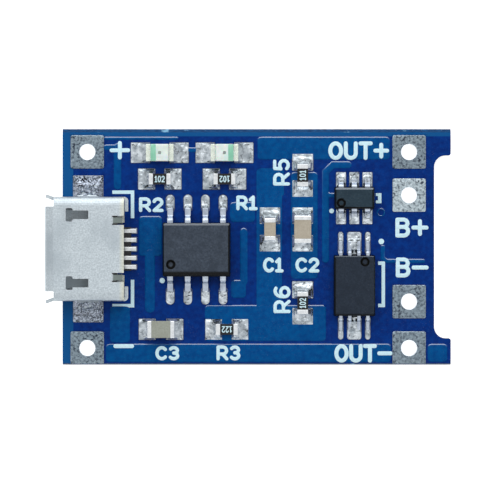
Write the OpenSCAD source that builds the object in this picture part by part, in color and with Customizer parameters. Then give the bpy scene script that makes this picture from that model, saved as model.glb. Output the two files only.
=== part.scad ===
/* [Board] */
// Thickness of the board with the mask on both faces
board_thick = 1.2; // [0.8:0.1:1.6]
// How far the long notch cuts into the output end
notch_depth = 1.2; // [0.9:0.1:1.6]
// Width of the two tabs beside the notch
tab_width = 1.9; // [1.5:0.1:3]
// Radius on the inner corner of each tab
tab_round = 0.15; // [0.05:0.05:0.3]
// Radius in the two inner corners of the notch
notch_radius = 0.85; // [0.2:0.05:0.9]
// Width of the scored bevel along the far long edge
far_score = 0.24; // [0.06:0.02:0.28]
// Width of the scored bevel along the near long edge
near_score = 0.1; // [0.06:0.02:0.2]
// Height of the scored bevels, at both faces
score_height = 0.3; // [0.1:0.05:0.35]

/* [Pads and mask] */
// Depth of the openings in the mask
mask_window = 0.04; // [0.02:0.01:0.06]
// Gap round a pad in its mask opening
mask_gap = 0.05; // [0.02:0.01:0.08]
// Thickness of a tinned pad
pad_thick = 0.09; // [0.07:0.01:0.15]
// Thinnest solder at the edge of a joint
solder_edge = 0.03; // [0.02:0.01:0.06]

/* [Terminals] */
// Side of a square terminal pad
terminal_side = 2.4; // [2:0.1:2.6]
// Bore of a plated terminal hole
hole_bore = 1.2; // [0.8:0.1:1.4]
// From the input end to the input terminals
input_margin = 0.58; // [0.3:0.02:1]
// From the notch to the output and battery terminals
notch_margin = 0.6; // [0.4:0.05:1]
// From the far long edge to the plus terminals
far_margin = 0.45; // [0.3:0.05:0.8]
// Gap from the output plus to the battery plus terminal
battery_plus_gap = 0.72; // [0.5:0.02:1.2]
// Gap from the output minus to the battery minus terminal
battery_minus_gap = 0.95; // [0.5:0.05:1.2]
// Gap between the two battery terminals
battery_gap = 5.28; // [4.5:0.02:6]

/* [Charging socket] */
// Width of the socket's shell across the mouth
socket_width = 7.5; // [7.3:0.1:8]
// Height of the shell above the board
socket_height = 2.45; // [2.3:0.05:2.9]
// Depth of the shell from its lip to its rear edge
socket_depth = 5.66; // [5.3:0.02:5.8]
// How far the lip stands past the board's input end
socket_overhang = 1.2; // [1:0.05:1.5]
// Gap from the plus terminal to the far anchor pad
far_anchor_gap = 0.5; // [0.4:0.05:0.8]
// Gap from the minus terminal to the near anchor pad
near_anchor_gap = 0.65; // [0.4:0.05:0.9]
// From the lip to the middle of the solder feet
foot_place = 3.05; // [2.8:0.05:3.2]
// Length of an anchor pad along the socket's depth
anchor_pad_length = 2.2; // [2:0.1:2.4]
// How far an anchor pad reaches past the shell's side
anchor_pad_reach = 1.55; // [1.4:0.05:1.8]
// Thickness of the folded sheet
sheet = 0.25; // [0.2:0.05:0.3]
// Radius of the shell's upper corners
shell_corner = 0.6; // [0.45:0.05:0.8]
// Width of the shell's narrow floor
shell_floor = 5.9; // [5.4:0.1:6.3]
// Height at which the shell's sides start to slope in
shell_slope = 1.05; // [0.9:0.05:1.2]
// Length of the flared lips along the socket's depth
lip_length = 0.62; // [0.4:0.02:0.8]
// Outward angle of the flared lips
lip_angle = 20; // [8:1:28]
// From the shell's middle to each latch window
latch_spread = 2.45; // [2.3:0.05:2.6]
// Length of a latch window
latch_length = 1.63; // [1.2:0.05:1.8]
// Width of a latch window's stem
latch_width = 0.62; // [0.4:0.02:0.7]
// Width across a latch window's head
latch_head = 0.98; // [0.8:0.02:1.1]
// From the shell's middle to each rear notch
rear_notch_spread = 2.05; // [2:0.05:2.2]
// Length of a rear notch
rear_notch_length = 0.85; // [0.7:0.05:1]
// Width of a rear notch
rear_notch_width = 0.66; // [0.5:0.02:0.7]
// Gap on each side of the tongue in a rear notch
tongue_gap = 0.09; // [0.06:0.01:0.12]
// Angle at which that tongue is pressed down
tongue_angle = 18; // [10:1:24]
// How far a folded rear tab reaches in from the shell's side
rear_tab = 1.05; // [0.6:0.05:1.2]
// Length of a solder foot along the shell's side
foot_length = 1.5; // [1:0.1:1.8]
// How far a solder foot stands out from the shell's side
foot_reach = 0.85; // [0.6:0.05:1.1]
// Pitch of the five contacts
contact_pitch = 0.65; // [0.6:0.01:0.68]
// Width of a contact
contact_width = 0.3; // [0.2:0.01:0.34]
// Thickness of a contact
contact_thick = 0.15; // [0.1:0.01:0.18]
// How far the contact tails stand out behind the shell
tail_reach = 0.88; // [0.7:0.02:1]
// Width of the moulded tongue
tongue_width = 3.7; // [3.5:0.1:4]
// Thickness of the moulded tongue
tongue_thick = 0.6; // [0.5:0.05:0.7]

/* [Charger chip] */
// Length of the moulded body
charger_length = 4.9; // [4.7:0.05:5.1]
// Width of the moulded body
charger_width = 3.9; // [3.7:0.05:4.1]
// Height of the moulded body
charger_height = 1.45; // [1.2:0.05:1.75]
// Pitch of the leads
charger_pitch = 1.27; // [1.2:0.01:1.3]
// Span over the tips of the leads
charger_span = 6; // [5.8:0.05:6.2]
// Width of a lead
charger_lead = 0.42; // [0.3:0.01:0.5]
// Span over the ends of the pads
charger_pad_span = 7.96; // [7.4:0.02:8.1]
// Width of a pad
charger_pad = 0.64; // [0.58:0.01:0.8]
// Width of the long bevel on the pin one side
charger_bevel = 0.25; // [0.1:0.05:0.4]

/* [Protector chip] */
// Length of the moulded body
protector_length = 2.9; // [2.7:0.05:3.1]
// Width of the moulded body
protector_width = 1.6; // [1.5:0.05:1.7]
// Height of the moulded body
protector_height = 1.1; // [0.9:0.05:1.3]
// Pitch of the leads
protector_pitch = 0.95; // [0.9:0.01:1]
// Span over the tips of the leads
protector_span = 2.8; // [2.7:0.05:2.95]
// Width of a lead
protector_lead = 0.4; // [0.3:0.01:0.5]
// Span over the ends of the pads
protector_pad_span = 3.78; // [3.5:0.02:3.9]
// Width of a pad
protector_pad = 0.74; // [0.6:0.01:0.8]

/* [Switch chip] */
// Length of the moulded body
switch_length = 3; // [2.9:0.05:3.1]
// Width of the moulded body
switch_width = 4.4; // [4.2:0.05:4.6]
// Height of the moulded body
switch_height = 0.95; // [0.85:0.05:1.1]
// Pitch of the leads
switch_pitch = 0.65; // [0.62:0.01:0.68]
// Span over the tips of the leads
switch_span = 6.4; // [6.2:0.05:6.6]
// Width of a lead
switch_lead = 0.25; // [0.19:0.01:0.3]
// Span over the ends of the pads
switch_pad_span = 7.8; // [7.4:0.02:7.9]
// Width of an outer pad
switch_pad = 0.4; // [0.36:0.01:0.46]

/* [Small chip parts] */
// Length of a resistor
resistor_length = 1.6; // [1.5:0.05:1.8]
// Width of a resistor
resistor_width = 0.8; // [0.7:0.05:1]
// Height of a resistor
resistor_height = 0.45; // [0.35:0.05:0.6]
// Length over the two pads of a resistor
resistor_pads = 3.16; // [2.9:0.02:3.3]
// Width of a resistor's or capacitor's pads
small_pad_width = 1.55; // [1.4:0.05:1.65]
// Length of one pad of a resistor or capacitor
small_pad_length = 1.26; // [1.1:0.02:1.34]
// Length of the small capacitor
small_capacitor_length = 1.63; // [1.5:0.01:1.8]
// Width and height of the small capacitor
small_capacitor_width = 0.85; // [0.7:0.05:1]
// Length of a large capacitor
large_capacitor_length = 2; // [1.8:0.05:2.2]
// Width of a large capacitor
large_capacitor_width = 1.25; // [1.1:0.05:1.35]
// Height of a large capacitor
large_capacitor_height = 0.85; // [0.7:0.05:1.2]
// Length over the two pads of a capacitor
capacitor_pads = 3.24; // [3.1:0.02:3.34]
// Length of the metal end on a small part
end_cap = 0.32; // [0.25:0.01:0.36]
// Skin of the metal ends
cap_skin = 0.03; // [0.02:0.01:0.04]

/* [Indicator lamps] */
// Length of a lamp
lamp_length = 2; // [1.9:0.05:2.15]
// Width of a lamp
lamp_width = 1.25; // [1.15:0.05:1.3]
// Thickness of a lamp's base plate
lamp_base = 0.3; // [0.2:0.05:0.4]
// Height of a lamp's moulded lens
lamp_lens = 0.5; // [0.3:0.05:0.7]
// Length of a lamp's moulded lens
lens_length = 1.46; // [1.3:0.02:1.5]
// Length over the two pads of a lamp
lamp_pads = 4.2; // [3.9:0.05:4.3]
// Length of one pad of a lamp
lamp_pad_length = 1.42; // [1.3:0.02:1.5]
// Width of a lamp's pads
lamp_pad_width = 1.5; // [1.45:0.05:1.65]

/* [Layout] */
// From the far long edge to the lamps
lamp_margin = 0.96; // [0.7:0.02:1.4]
// Gap from the lamps to their resistors
lamp_resistor_gap = 0.375; // [0.3:0.025:0.6]
// Gap from those resistors to the charger chip
resistor_charger_gap = 0.335; // [0.25:0.005:0.6]
// Gap from the charger chip to the lower row
charger_row_gap = 0.995; // [0.5:0.005:1.5]
// From the near long edge to the lower row
row_margin = 1.775; // [1.6:0.005:2.2]
// Gap from the plus terminal to the left lamp
plus_sign_gap = 1.93; // [1.6:0.01:2.2]
// Gap between the two lamps
lamp_gap = 0.47; // [0.3:0.01:0.8]
// Gap from the contact tails to the charger chip
tail_charger_gap = 1.88; // [1.6:0.01:2.2]
// Gap from the charger chip to the small capacitor
charger_capacitor_gap = 2.065; // [1.5:0.005:2.5]
// Gap from the small to the large capacitor
capacitor_gap = 0.81; // [0.6:0.01:1.2]
// Gap from the right lamp to the middle column
lamp_column_gap = 2.765; // [2.4:0.005:3.2]
// Step from the left lamp to the input capacitor, along X
row_step = 0.09; // [0:0.01:0.3]
// Gap from the input capacitor to the current setting resistor
row_gap = 1.55; // [1.3:0.05:1.8]
// From the far long edge to the upper resistor of the middle column
column_margin = 1.76; // [1.5:0.02:2.1]
// Gap from that resistor to the capacitors
resistor_capacitor_gap = 0.7; // [0.5:0.02:1]
// Gap from the capacitors to the lower resistor, with room for their marks
capacitor_resistor_gap = 2.11; // [1.9:0.01:2.5]
// From the near long edge to that resistor
column_foot = 2.87; // [2.4:0.01:3.2]
// Gap from the middle column to the protector and switch chips
column_chip_gap = 1.445; // [1.2:0.005:1.8]
// Gap from these chips to the output terminals
chip_terminal_gap = 1.26; // [1.1:0.02:1.6]
// From the far long edge to the protector chip, with room for a mark
protector_margin = 3.1; // [2.8:0.05:3.4]
// Gap from the protector chip to the switch chip
chip_gap_along = 0.52; // [0.4:0.02:0.9]
// From the near long edge to the switch chip, with room for a mark
switch_margin = 1.8; // [1.6:0.05:2.2]

/* [Hidden] */
$fn = 48;

// A cut runs this far past the face it opens
past = 0.5;

// Room that each column of parts needs from the far long edge to the near one
charger_stack = lamp_margin + lamp_pad_width + lamp_resistor_gap + 2 * small_pad_width
    + resistor_charger_gap + charger_pad_span + charger_row_gap + row_margin;
socket_stack = far_margin + 2 * terminal_side + far_anchor_gap + near_anchor_gap
    + socket_width + 2 * anchor_pad_reach;
terminal_stack = far_margin + 4 * terminal_side + battery_plus_gap + battery_gap + battery_minus_gap;
chip_stack = protector_margin + protector_pad_span + chip_gap_along + switch_pad_span + switch_margin;
middle_stack = column_margin + 2 * resistor_pads + capacitor_pads + resistor_capacitor_gap
    + capacitor_resistor_gap + column_foot;
board_width = max(charger_stack, socket_stack, terminal_stack, chip_stack, middle_stack);

// Middles of the columns, measured from the input end
tail_end = socket_depth - socket_overhang + tail_reach;
left_column_in = input_margin + terminal_side + plus_sign_gap + lamp_pads / 2;
right_column_in = left_column_in + lamp_pads + lamp_gap;
charger_in = tail_end + tail_charger_gap + charger_length / 2;
small_capacitor_in = charger_in + charger_length / 2 + charger_capacitor_gap + small_pad_width / 2;
middle_column_in = max(
    right_column_in + lamp_pads / 2 + lamp_column_gap + small_pad_width / 2,
    small_capacitor_in + capacitor_gap + small_pad_width
);
chip_half = max(switch_length, protector_length, 2 * protector_pitch + protector_pad) / 2;
chip_column_in = middle_column_in + small_pad_width / 2 + column_chip_gap + chip_half;
output_in = chip_column_in + chip_half + chip_terminal_gap + terminal_side / 2;
board_length = output_in + terminal_side / 2 + notch_margin + notch_depth;
notch_length = board_width - 2 * tab_width;

// Edges and levels of the board
input_end = -board_length / 2;
output_end = board_length / 2;
far_edge = board_width / 2;
near_edge = -board_width / 2;
pad_floor = board_thick - mask_window;
pad_top = pad_floor + pad_thick;

// Centres of the six terminal holes
input_x = input_end + input_margin + terminal_side / 2;
output_x = input_end + output_in;
plus_y = far_edge - far_margin - terminal_side / 2;
minus_y = near_edge + terminal_side / 2;
in_plus = [input_x, plus_y];
in_minus = [input_x, minus_y];
out_plus = [output_x, plus_y];
out_minus = [output_x, minus_y];
battery_plus = [output_x, plus_y - terminal_side - battery_plus_gap];
battery_minus = [output_x, minus_y + terminal_side + battery_minus_gap];
TERMINALS = [in_plus, in_minus, out_plus, out_minus, battery_plus, battery_minus];

// Middles of the rows and columns on the board
socket_y = plus_y - terminal_side / 2 - far_anchor_gap - anchor_pad_reach - socket_width / 2;
lamp_y = far_edge - lamp_margin - lamp_pad_width / 2;
lamp_resistor_y = lamp_y - (lamp_pad_width + small_pad_width) / 2 - lamp_resistor_gap;
charger_y = lamp_resistor_y - small_pad_width / 2 - resistor_charger_gap - charger_pad_span / 2;
lower_y = near_edge + row_margin + small_pad_width / 2;
upper_resistor_y = far_edge - column_margin - resistor_pads / 2;
capacitor_row = upper_resistor_y - (resistor_pads + capacitor_pads) / 2 - resistor_capacitor_gap;
lower_resistor_y = capacitor_row - (resistor_pads + capacitor_pads) / 2 - capacitor_resistor_gap;
protector_y = far_edge - protector_margin - protector_pad_span / 2;
switch_y = protector_y - (protector_pad_span + switch_pad_span) / 2 - chip_gap_along;
left_column = input_end + left_column_in;
right_column = input_end + right_column_in;
charger_x = input_end + charger_in;
small_capacitor_x = input_end + small_capacitor_in;
middle_column = input_end + middle_column_in;
chip_column = input_end + chip_column_in;
input_capacitor_x = left_column + row_step;
current_resistor_x = input_capacitor_x + (capacitor_pads + resistor_pads) / 2 + row_gap;

// Places of the parts as [x, y, turn]
charger_at = [charger_x, charger_y, 0];
protector_at = [chip_column, protector_y, 0];
switch_at = [chip_column, switch_y, 0];
left_lamp_at = [left_column, lamp_y, 0];
right_lamp_at = [right_column, lamp_y, 180];
r1_at = [right_column, lamp_resistor_y, 180];
r2_at = [left_column, lamp_resistor_y, 0];
r3_at = [current_resistor_x, lower_y, 180];
r5_at = [middle_column, upper_resistor_y, -90];
r6_at = [middle_column, lower_resistor_y, 90];
c1_at = [small_capacitor_x, capacitor_row, 90];
c2_at = [middle_column, capacitor_row, 90];
c3_at = [input_capacitor_x, lower_y, 0];
RESISTORS = [r1_at, r2_at, r3_at, r5_at, r6_at];
CAPACITORS = [c1_at, c2_at, c3_at];
LAMPS = [left_lamp_at, right_lamp_at];

// Sizes of the parts as [length, width, height]
charger_size = [charger_length, charger_width, charger_height];
protector_size = [protector_length, protector_width, protector_height];
switch_size = [switch_length, switch_width, switch_height];
resistor_size = [resistor_length, resistor_width, resistor_height];
small_capacitor_size = [small_capacitor_length, small_capacitor_width, small_capacitor_width];
large_capacitor_size = [large_capacitor_length, large_capacitor_width, large_capacitor_height];
lamp_size = [lamp_length, lamp_width, lamp_base];

// Socket levels, from the shell's lip to its rear and from the board up
mouth_x = input_end - socket_overhang;
throat_x = mouth_x + lip_length;
rear_x = mouth_x + socket_depth;
anchor_x = mouth_x + foot_place;
lip_bend = 0.3;
tab_bend = sheet / 2 + 0.05;
tongue_bend = 0.2;
hinge_x = rear_x - rear_notch_length;
foot_bend = 0.2;
anchor_pad_inset = 0.3;
anchor_pad = [anchor_pad_length, anchor_pad_reach + anchor_pad_inset];
anchor_rise = 0.6;
shell_gap = 0.03;
housing_rear = rear_x - 0.5;
housing_front = housing_rear - 1.15;
housing_pocket = socket_height - sheet / cos(tongue_angle) - shell_gap
    - (housing_rear - hinge_x) * tan(tongue_angle);
tongue_front = mouth_x + 1.1;
tongue_floor = board_thick + (socket_height - tongue_thick) / 2 - 0.15;
contact_level = tongue_floor + contact_thick / 2;
contact_bend = 0.16;
drop_x = rear_x - 0.42;
tail_x = rear_x + tail_reach;
contact_pad = [1.15, 0.42];
CONTACTS = [for (k = [-2:2]) socket_y + k * contact_pitch];

// Chip details that follow the package styles
chip_gap = 0.1;
mould_draft = 0.08;
lead_root = 0.3;
lead_lean = 80;
dimple_radius = 0.25;
dimple_depth = 0.06;

// Sizes of the printed marks
mark_thick = 0.02;
mark_line = 0.25;
bracket_reach = 1.58;
bracket_drop = 2;
mark_gap = 0.22;
switch_mark = [0.5, 3.3];
switch_dot = [1.95, 3.19, 0.2];
protector_mark = [0.4, 0.72];
protector_dot = [-1.63, -0.92, 0.17];
charger_dot = [-2.48, -2.23, 0.19];

// Last item of a list
function last(items) = items[len(items) - 1];

// All items but the last one
function front_of(items) = [for (i = [0:1:len(items) - 2]) items[i]];

// A bent line as [x, y, heading] points; each move is [straight run, turn, bend radius]
function bent_line(at, moves, i = 0) =
    i == len(moves) ? [at] :
    let (
        run = moves[i][0],
        turn = moves[i][1],
        side = sign(turn),
        radius = side * moves[i][2],
        bend = [at.x + run * cos(at.z), at.y + run * sin(at.z), at.z],
        hub = [bend.x - radius * sin(bend.z), bend.y + radius * cos(bend.z)],
        steps = ceil(abs(turn) / 15),
        arc = turn == 0 ? [bend] :
            [for (k = [0:steps])
                let (heading = bend.z + turn * k / steps)
                [hub.x + radius * sin(heading), hub.y - radius * cos(heading), heading]]
    )
    concat(run > 0 ? [at] : [], front_of(arc), bent_line(last(arc), moves, i + 1));

// Outline of a strip of even thickness that follows a bent line
function strip(line, thick) = concat(
    [for (p = line) [p.x - thick / 2 * sin(p.z), p.y + thick / 2 * cos(p.z)]],
    [for (i = [len(line) - 1:-1:0])
        [line[i].x + thick / 2 * sin(line[i].z), line[i].y - thick / 2 * cos(line[i].z)]]
);

// Unit normal to the left of the edge from a to b
function left_normal(a, b) = [a.y - b.y, b.x - a.x] / norm(b - a);

// Outline moved inwards by an even distance; its points run anticlockwise
function inset(points, by) =
    let (count = len(points))
    [for (i = [0:count - 1])
        let (
            before = left_normal(points[(i + count - 1) % count], points[i]),
            after = left_normal(points[i], points[(i + 1) % count])
        )
        points[i] + by * (before + after) / (1 + before * after)];

// Outline with every corner turned into an arc; radii has one entry for each corner
function round_off(points, radii) =
    let (count = len(points))
    [for (i = [0:count - 1])
        let (
            back = (points[(i + count - 1) % count] - points[i]),
            ahead = (points[(i + 1) % count] - points[i]),
            to_back = back / norm(back),
            to_ahead = ahead / norm(ahead),
            half = acos(to_back * to_ahead) / 2,
            middle = (to_back + to_ahead) / norm(to_back + to_ahead),
            hub = points[i] + middle * radii[i] / sin(half),
            start = hub - left_normal(points[(i + count - 1) % count], points[i]) * radii[i],
            from = atan2(start.y - hub.y, start.x - hub.x),
            sweep = 180 - 2 * half,
            steps = ceil(sweep / 15)
        )
        for (k = [0:steps])
            hub + radii[i] * [cos(from + sweep * k / steps), sin(from + sweep * k / steps)]];

// Hollow curve that falls by rise over run, as a quarter ellipse
function sag(run, rise) = [for (a = [0:18:90]) [run * (1 - cos(a)), rise * (1 - sin(a))]];

// Side outline of a moulded block: widest at half height, with one top corner bevelled
function moulded_outline(width, height, bevel) = concat(
    [[-width / 2 + mould_draft, 0], [width / 2 - mould_draft, 0], [width / 2, height / 2]],
    [[width / 2 - mould_draft, height]],
    bevel > 0 ?
        [[-width / 2 + mould_draft + bevel, height], [-width / 2 + mould_draft / 2, height - bevel]] :
        [[-width / 2 + mould_draft, height]],
    [[-width / 2, height / 2]]
);

// Section of the socket shell: wide roof, upright sides, sloped lower corners
shell_outline = [
    [-shell_floor / 2, 0], [shell_floor / 2, 0],
    [socket_width / 2, shell_slope], [socket_width / 2, socket_height],
    [-socket_width / 2, socket_height], [-socket_width / 2, shell_slope]
];
floor_radius = 0.4;
side_radius = 0.5;

function shell_section(depth) = round_off(
    inset(shell_outline, depth),
    [for (r = [floor_radius, floor_radius, side_radius, shell_corner, shell_corner, side_radius])
        max(r - depth, 0.1)]
);

// Height profile of a gull wing lead from inside its body to its tip
function gull_line(root, span, exit, thick, bend, shoulder) =
    let (
        drop = exit - thick / 2,
        slope = (drop - 2 * bend * (1 - cos(lead_lean))) / sin(lead_lean),
        across = 2 * bend * sin(lead_lean) + slope * cos(lead_lean),
        foot = span / 2 - (root + lead_root + shoulder + across)
    )
    bent_line([root, exit, 0], [
        [lead_root + shoulder, -lead_lean, bend],
        [slope, lead_lean, bend],
        [foot, 0, 0]
    ]);

// Puts a part at its place on the board
module at(place) {
    translate([place.x, place.y, 0])
        rotate(place.z)
            children();
}

// Both ends of a part that is the same at both
module both_ends() {
    children();
    rotate(180) children();
}

// Raises an outline drawn as [along X, up] and gives it a width along Y
module upright(width) {
    rotate([90, 0, 0])
        linear_extrude(width, center = true)
            children();
}

// Raises an outline drawn as [along Y, up] and gives it a length along X
module lengthwise(length) {
    rotate([90, 0, 90])
        linear_extrude(length)
            children();
}

// Rectangle with round corners
module round_rectangle(size, radius) {
    square([size.x - 2 * radius, size.y], center = true);
    square([size.x, size.y - 2 * radius], center = true);
    for (x = [-1, 1], y = [-1, 1])
        translate([x * (size.x / 2 - radius), y * (size.y / 2 - radius)])
            circle(radius);
}

// Long pad with round ends, along Y
module oval(length, width) {
    square([width, length - width], center = true);
    for (end = [-1, 1])
        translate([0, end * (length - width) / 2])
            circle(width / 2);
}

// Two pads of a part that lies along X
module pair_pads(over, length, width, grow = 0) {
    for (end = [-1, 1])
        translate([end * (over - length) / 2, 0])
            square([length + 2 * grow, width + 2 * grow], center = true);
}

// Outlines of the pads of each kind of part; grow widens them into mask openings
module resistor_pad_outline(grow = 0) {
    pair_pads(resistor_pads, small_pad_length, small_pad_width, grow);
}

module capacitor_pad_outline(grow = 0) {
    pair_pads(capacitor_pads, small_pad_length, small_pad_width, grow);
}

module lamp_pad_outline(grow = 0) {
    pair_pads(lamp_pads, lamp_pad_length, lamp_pad_width, grow);
}

module terminal_outline(grow = 0) {
    square(terminal_side + 2 * grow, center = true);
}

module contact_pad_outline(grow = 0) {
    for (y = CONTACTS)
        translate([tail_x - contact_pad.x / 2 + 0.05, y])
            square([contact_pad.x + 2 * grow, contact_pad.y + 2 * grow], center = true);
}

module anchor_pad_outline(grow = 0) {
    for (side = [-1, 1])
        translate([anchor_x, socket_y + side * (socket_width / 2 - anchor_pad_inset + anchor_pad.y / 2)])
            square([anchor_pad.x + 2 * grow, anchor_pad.y + 2 * grow], center = true);
}

// Pad lengths run from the lead's heel to the pad's end
charger_pad_length = (charger_pad_span - charger_width) / 2 + 0.05;
protector_pad_length = (protector_pad_span - protector_width) / 2;
switch_pad_length = (switch_pad_span - switch_width) / 2;
switch_merged_pad = switch_pitch + switch_pad;

module charger_pad_outline(grow = 0) {
    for (side = [-1, 1], k = [-1.5:1:1.5])
        translate([k * charger_pitch, side * (charger_pad_span - charger_pad_length) / 2])
            oval(charger_pad_length + 2 * grow, charger_pad + 2 * grow);
}

module protector_pad_outline(grow = 0) {
    for (side = [-1, 1], k = [-1:1])
        translate([k * protector_pitch, side * (protector_pad_span - protector_pad_length) / 2])
            square([protector_pad + 2 * grow, protector_pad_length + 2 * grow], center = true);
}

module switch_pad_outline(grow = 0) {
    for (side = [-1, 1])
        translate([0, side * (switch_pad_span - switch_pad_length) / 2]) {
            for (end = [-1.5, 1.5])
                translate([end * switch_pitch, 0])
                    oval(switch_pad_length + 2 * grow, switch_pad + 2 * grow);
            square([switch_merged_pad + 2 * grow, switch_pad_length + 2 * grow], center = true);
        }
}

// What an arc leaves of a corner whose material lies to its left and above it
module corner_cut(radius) {
    difference() {
        translate([-radius, -past])
            square(radius + past);
        translate([-radius, radius])
            circle(radius);
    }
}

// Wedge along a long edge that the scoring tool has cut from the two faces
module score_cuts(thick) {
    for (edge = [[far_edge, -1, far_score], [near_edge, 1, near_score]], face = [0, 1])
        translate([input_end - past, edge[0], face * thick])
            lengthwise(board_length + 2 * past)
                polygon([
                    [-edge[1] * past, (1 - 2 * face) * (score_height + past * score_height / edge[2])],
                    [edge[1] * edge[2], 0],
                    [edge[1] * edge[2], -(1 - 2 * face) * past],
                    [-edge[1] * past, -(1 - 2 * face) * past]
                ]);
}

module circuit_board() {
    color([0.03, 0.23, 0.5])
        difference() {
            linear_extrude(board_thick)
                difference() {
                    square([board_length, board_width], center = true);
                    translate([output_end, 0])
                        round_rectangle([2 * notch_depth, notch_length], notch_radius);
                    for (side = [0, 1])
                        mirror([0, side])
                            translate([output_end, notch_length / 2])
                                corner_cut(tab_round);
                    for (hole = TERMINALS)
                        translate(hole)
                            circle(hole_bore / 2);
                }
            score_cuts(board_thick);
            translate([0, 0, pad_floor])
                linear_extrude(past)
                    mask_windows();
            translate([0, 0, mask_window - past])
                linear_extrude(past)
                    for (hole = TERMINALS)
                        translate(hole)
                            terminal_outline(mask_gap);
        }
}

// Every opening in the mask on the upper face
module mask_windows() {
    for (hole = TERMINALS)
        translate(hole)
            terminal_outline(mask_gap);
    contact_pad_outline(mask_gap);
    anchor_pad_outline(mask_gap);
    at(charger_at) charger_pad_outline(mask_gap);
    at(protector_at) protector_pad_outline(mask_gap);
    at(switch_at) switch_pad_outline(mask_gap);
    for (place = RESISTORS)
        at(place) resistor_pad_outline(mask_gap);
    for (place = CAPACITORS)
        at(place) capacitor_pad_outline(mask_gap);
    for (place = LAMPS)
        at(place) lamp_pad_outline(mask_gap);
}

// One terminal: a square tinned pad on each face, round the plated hole
module terminal(hole) {
    color([0.75, 0.77, 0.8])
        difference() {
            translate(hole) {
                linear_extrude(mask_window) terminal_outline();
                translate([0, 0, pad_floor])
                    linear_extrude(pad_thick) terminal_outline();
            }
            translate([hole.x, hole.y, -past])
                cylinder(h = pad_top + 2 * past, r = hole_bore / 2);
            score_cuts(board_thick);
        }
}

// Printed dot beside a chip's first lead, placed as [x, y, radius]
module pin_dot(dot) {
    translate([dot.x, dot.y])
        circle(dot.z);
}

// Printed bracket that opens towards the chip on its left
module side_bracket(size, line, arm) {
    translate([size.x - line, -size.y / 2])
        square([line, size.y]);
    for (end = [-1, 1])
        translate([0, end * (size.y - arm) / 2 - arm / 2])
            square([size.x, arm]);
}

// Printed corner brackets, edge brackets and pin one dots
module legend_marks() {
    bracket_x = rear_x + 0.46;
    bracket_y = socket_width / 2 + mark_gap;
    color([0.85, 0.95, 1])
        translate([0, 0, board_thick])
            linear_extrude(mark_thick) {
                for (side = [-1, 1]) {
                    translate([bracket_x + mark_line - bracket_reach, socket_y + side * bracket_y])
                        translate([0, side < 0 ? -mark_line : 0])
                            square([bracket_reach, mark_line]);
                    translate([bracket_x, socket_y + side * bracket_y])
                        translate([0, side > 0 ? mark_line - bracket_drop : -mark_line])
                            square([mark_line, bracket_drop]);
                }
                at(switch_at) {
                    translate([switch_length / 2 + mark_gap, 0.1])
                        side_bracket(switch_mark, mark_line, mark_line);
                    pin_dot(switch_dot);
                }
                at(protector_at) {
                    translate([protector_length / 2 + mark_gap / 2, 0])
                        side_bracket(protector_mark, mark_line, mark_line * 0.8);
                    pin_dot(protector_dot);
                }
                at(charger_at) pin_dot(charger_dot);
            }
}

// Bent strip with its line in the plane of depth and height
module depth_strip(line, thick, width) {
    upright(width) polygon(strip(line, thick));
}

// Shell of the socket, folded from one sheet
module socket_shell() {
    wall = sheet / 2;
    lip_run = (lip_length - (lip_bend + wall) * sin(lip_angle)) / cos(lip_angle);
    roof_lip = socket_width - 2 * shell_corner - 0.2;
    floor_lip = shell_floor - 2 * floor_radius;
    side_lip = socket_height - shell_corner - shell_slope - 0.2;
    tab_run = rear_tab - wall - tab_bend;
    hold = 0.2;
    color([0.78, 0.81, 0.83]) {
        notch_tongues(hold);
        difference() {
            union() {
                translate([throat_x, socket_y, board_thick])
                    lengthwise(rear_x - throat_x)
                        difference() {
                            polygon(shell_section(0));
                            polygon(shell_section(sheet));
                        }
                translate([0, socket_y, board_thick]) {
                    depth_strip(bent_line([throat_x + hold, socket_height - wall, 180],
                        [[hold, -lip_angle, lip_bend], [lip_run, 0, 0]]), sheet, roof_lip);
                    depth_strip(bent_line([throat_x + hold, wall, 180],
                        [[hold, lip_angle, lip_bend], [lip_run, 0, 0]]), sheet, floor_lip);
                    for (side = [-1, 1]) {
                        side_line = side * (socket_width / 2 - wall);
                        translate([0, 0, shell_slope + 0.1])
                            linear_extrude(side_lip) {
                                polygon(strip(bent_line([throat_x + hold, side_line, 180],
                                    [[hold, -side * lip_angle, lip_bend], [lip_run, 0, 0]]), sheet));
                                polygon(strip(bent_line([rear_x - hold, side_line, 0],
                                    [[hold, -side * 90, tab_bend], [tab_run, 0, 0]]), sheet));
                            }
                        translate([anchor_x - foot_length / 2, 0, 0])
                            mirror([0, side < 0 ? 1 : 0, 0])
                                lengthwise(foot_length)
                                    polygon(strip(foot_line(), sheet));
                    }
                }
            }
            for (side = [-1, 1]) {
                translate([mouth_x + 1.49, socket_y + side * latch_spread, board_thick + socket_height / 2])
                    linear_extrude(socket_height)
                        latch_window();
                rear_notch(side, 2 * sheet);
            }
            translate([housing_rear - 0.1, socket_y - contact_pitch * 2 - 0.6, board_thick - past])
                cube([socket_depth, contact_pitch * 4 + 1.2, past + shell_slope]);
        }
    }
}

// Space of one rear notch, open to the rear, down to a depth below the roof's upper face
module rear_notch(side, depth) {
    translate([hinge_x, socket_y + side * rear_notch_spread - rear_notch_width / 2,
        board_thick + socket_height - depth])
        cube([rear_notch_length + past, rear_notch_width, depth + past]);
}

// Tongues pressed down from the front edge of each rear notch; hold is their length inside the roof
module notch_tongues(hold) {
    turned = tongue_bend * sin(tongue_angle);
    run = (rear_notch_length - tongue_gap - turned - sheet / 2 * sin(tongue_angle)) / cos(tongue_angle);
    for (side = [-1, 1])
        translate([0, socket_y + side * rear_notch_spread, board_thick])
            depth_strip(bent_line([hinge_x - hold, socket_height - sheet / 2, 0],
                [[hold, -tongue_angle, tongue_bend], [run, 0, 0]]),
                sheet, rear_notch_width - 2 * tongue_gap);
}

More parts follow.
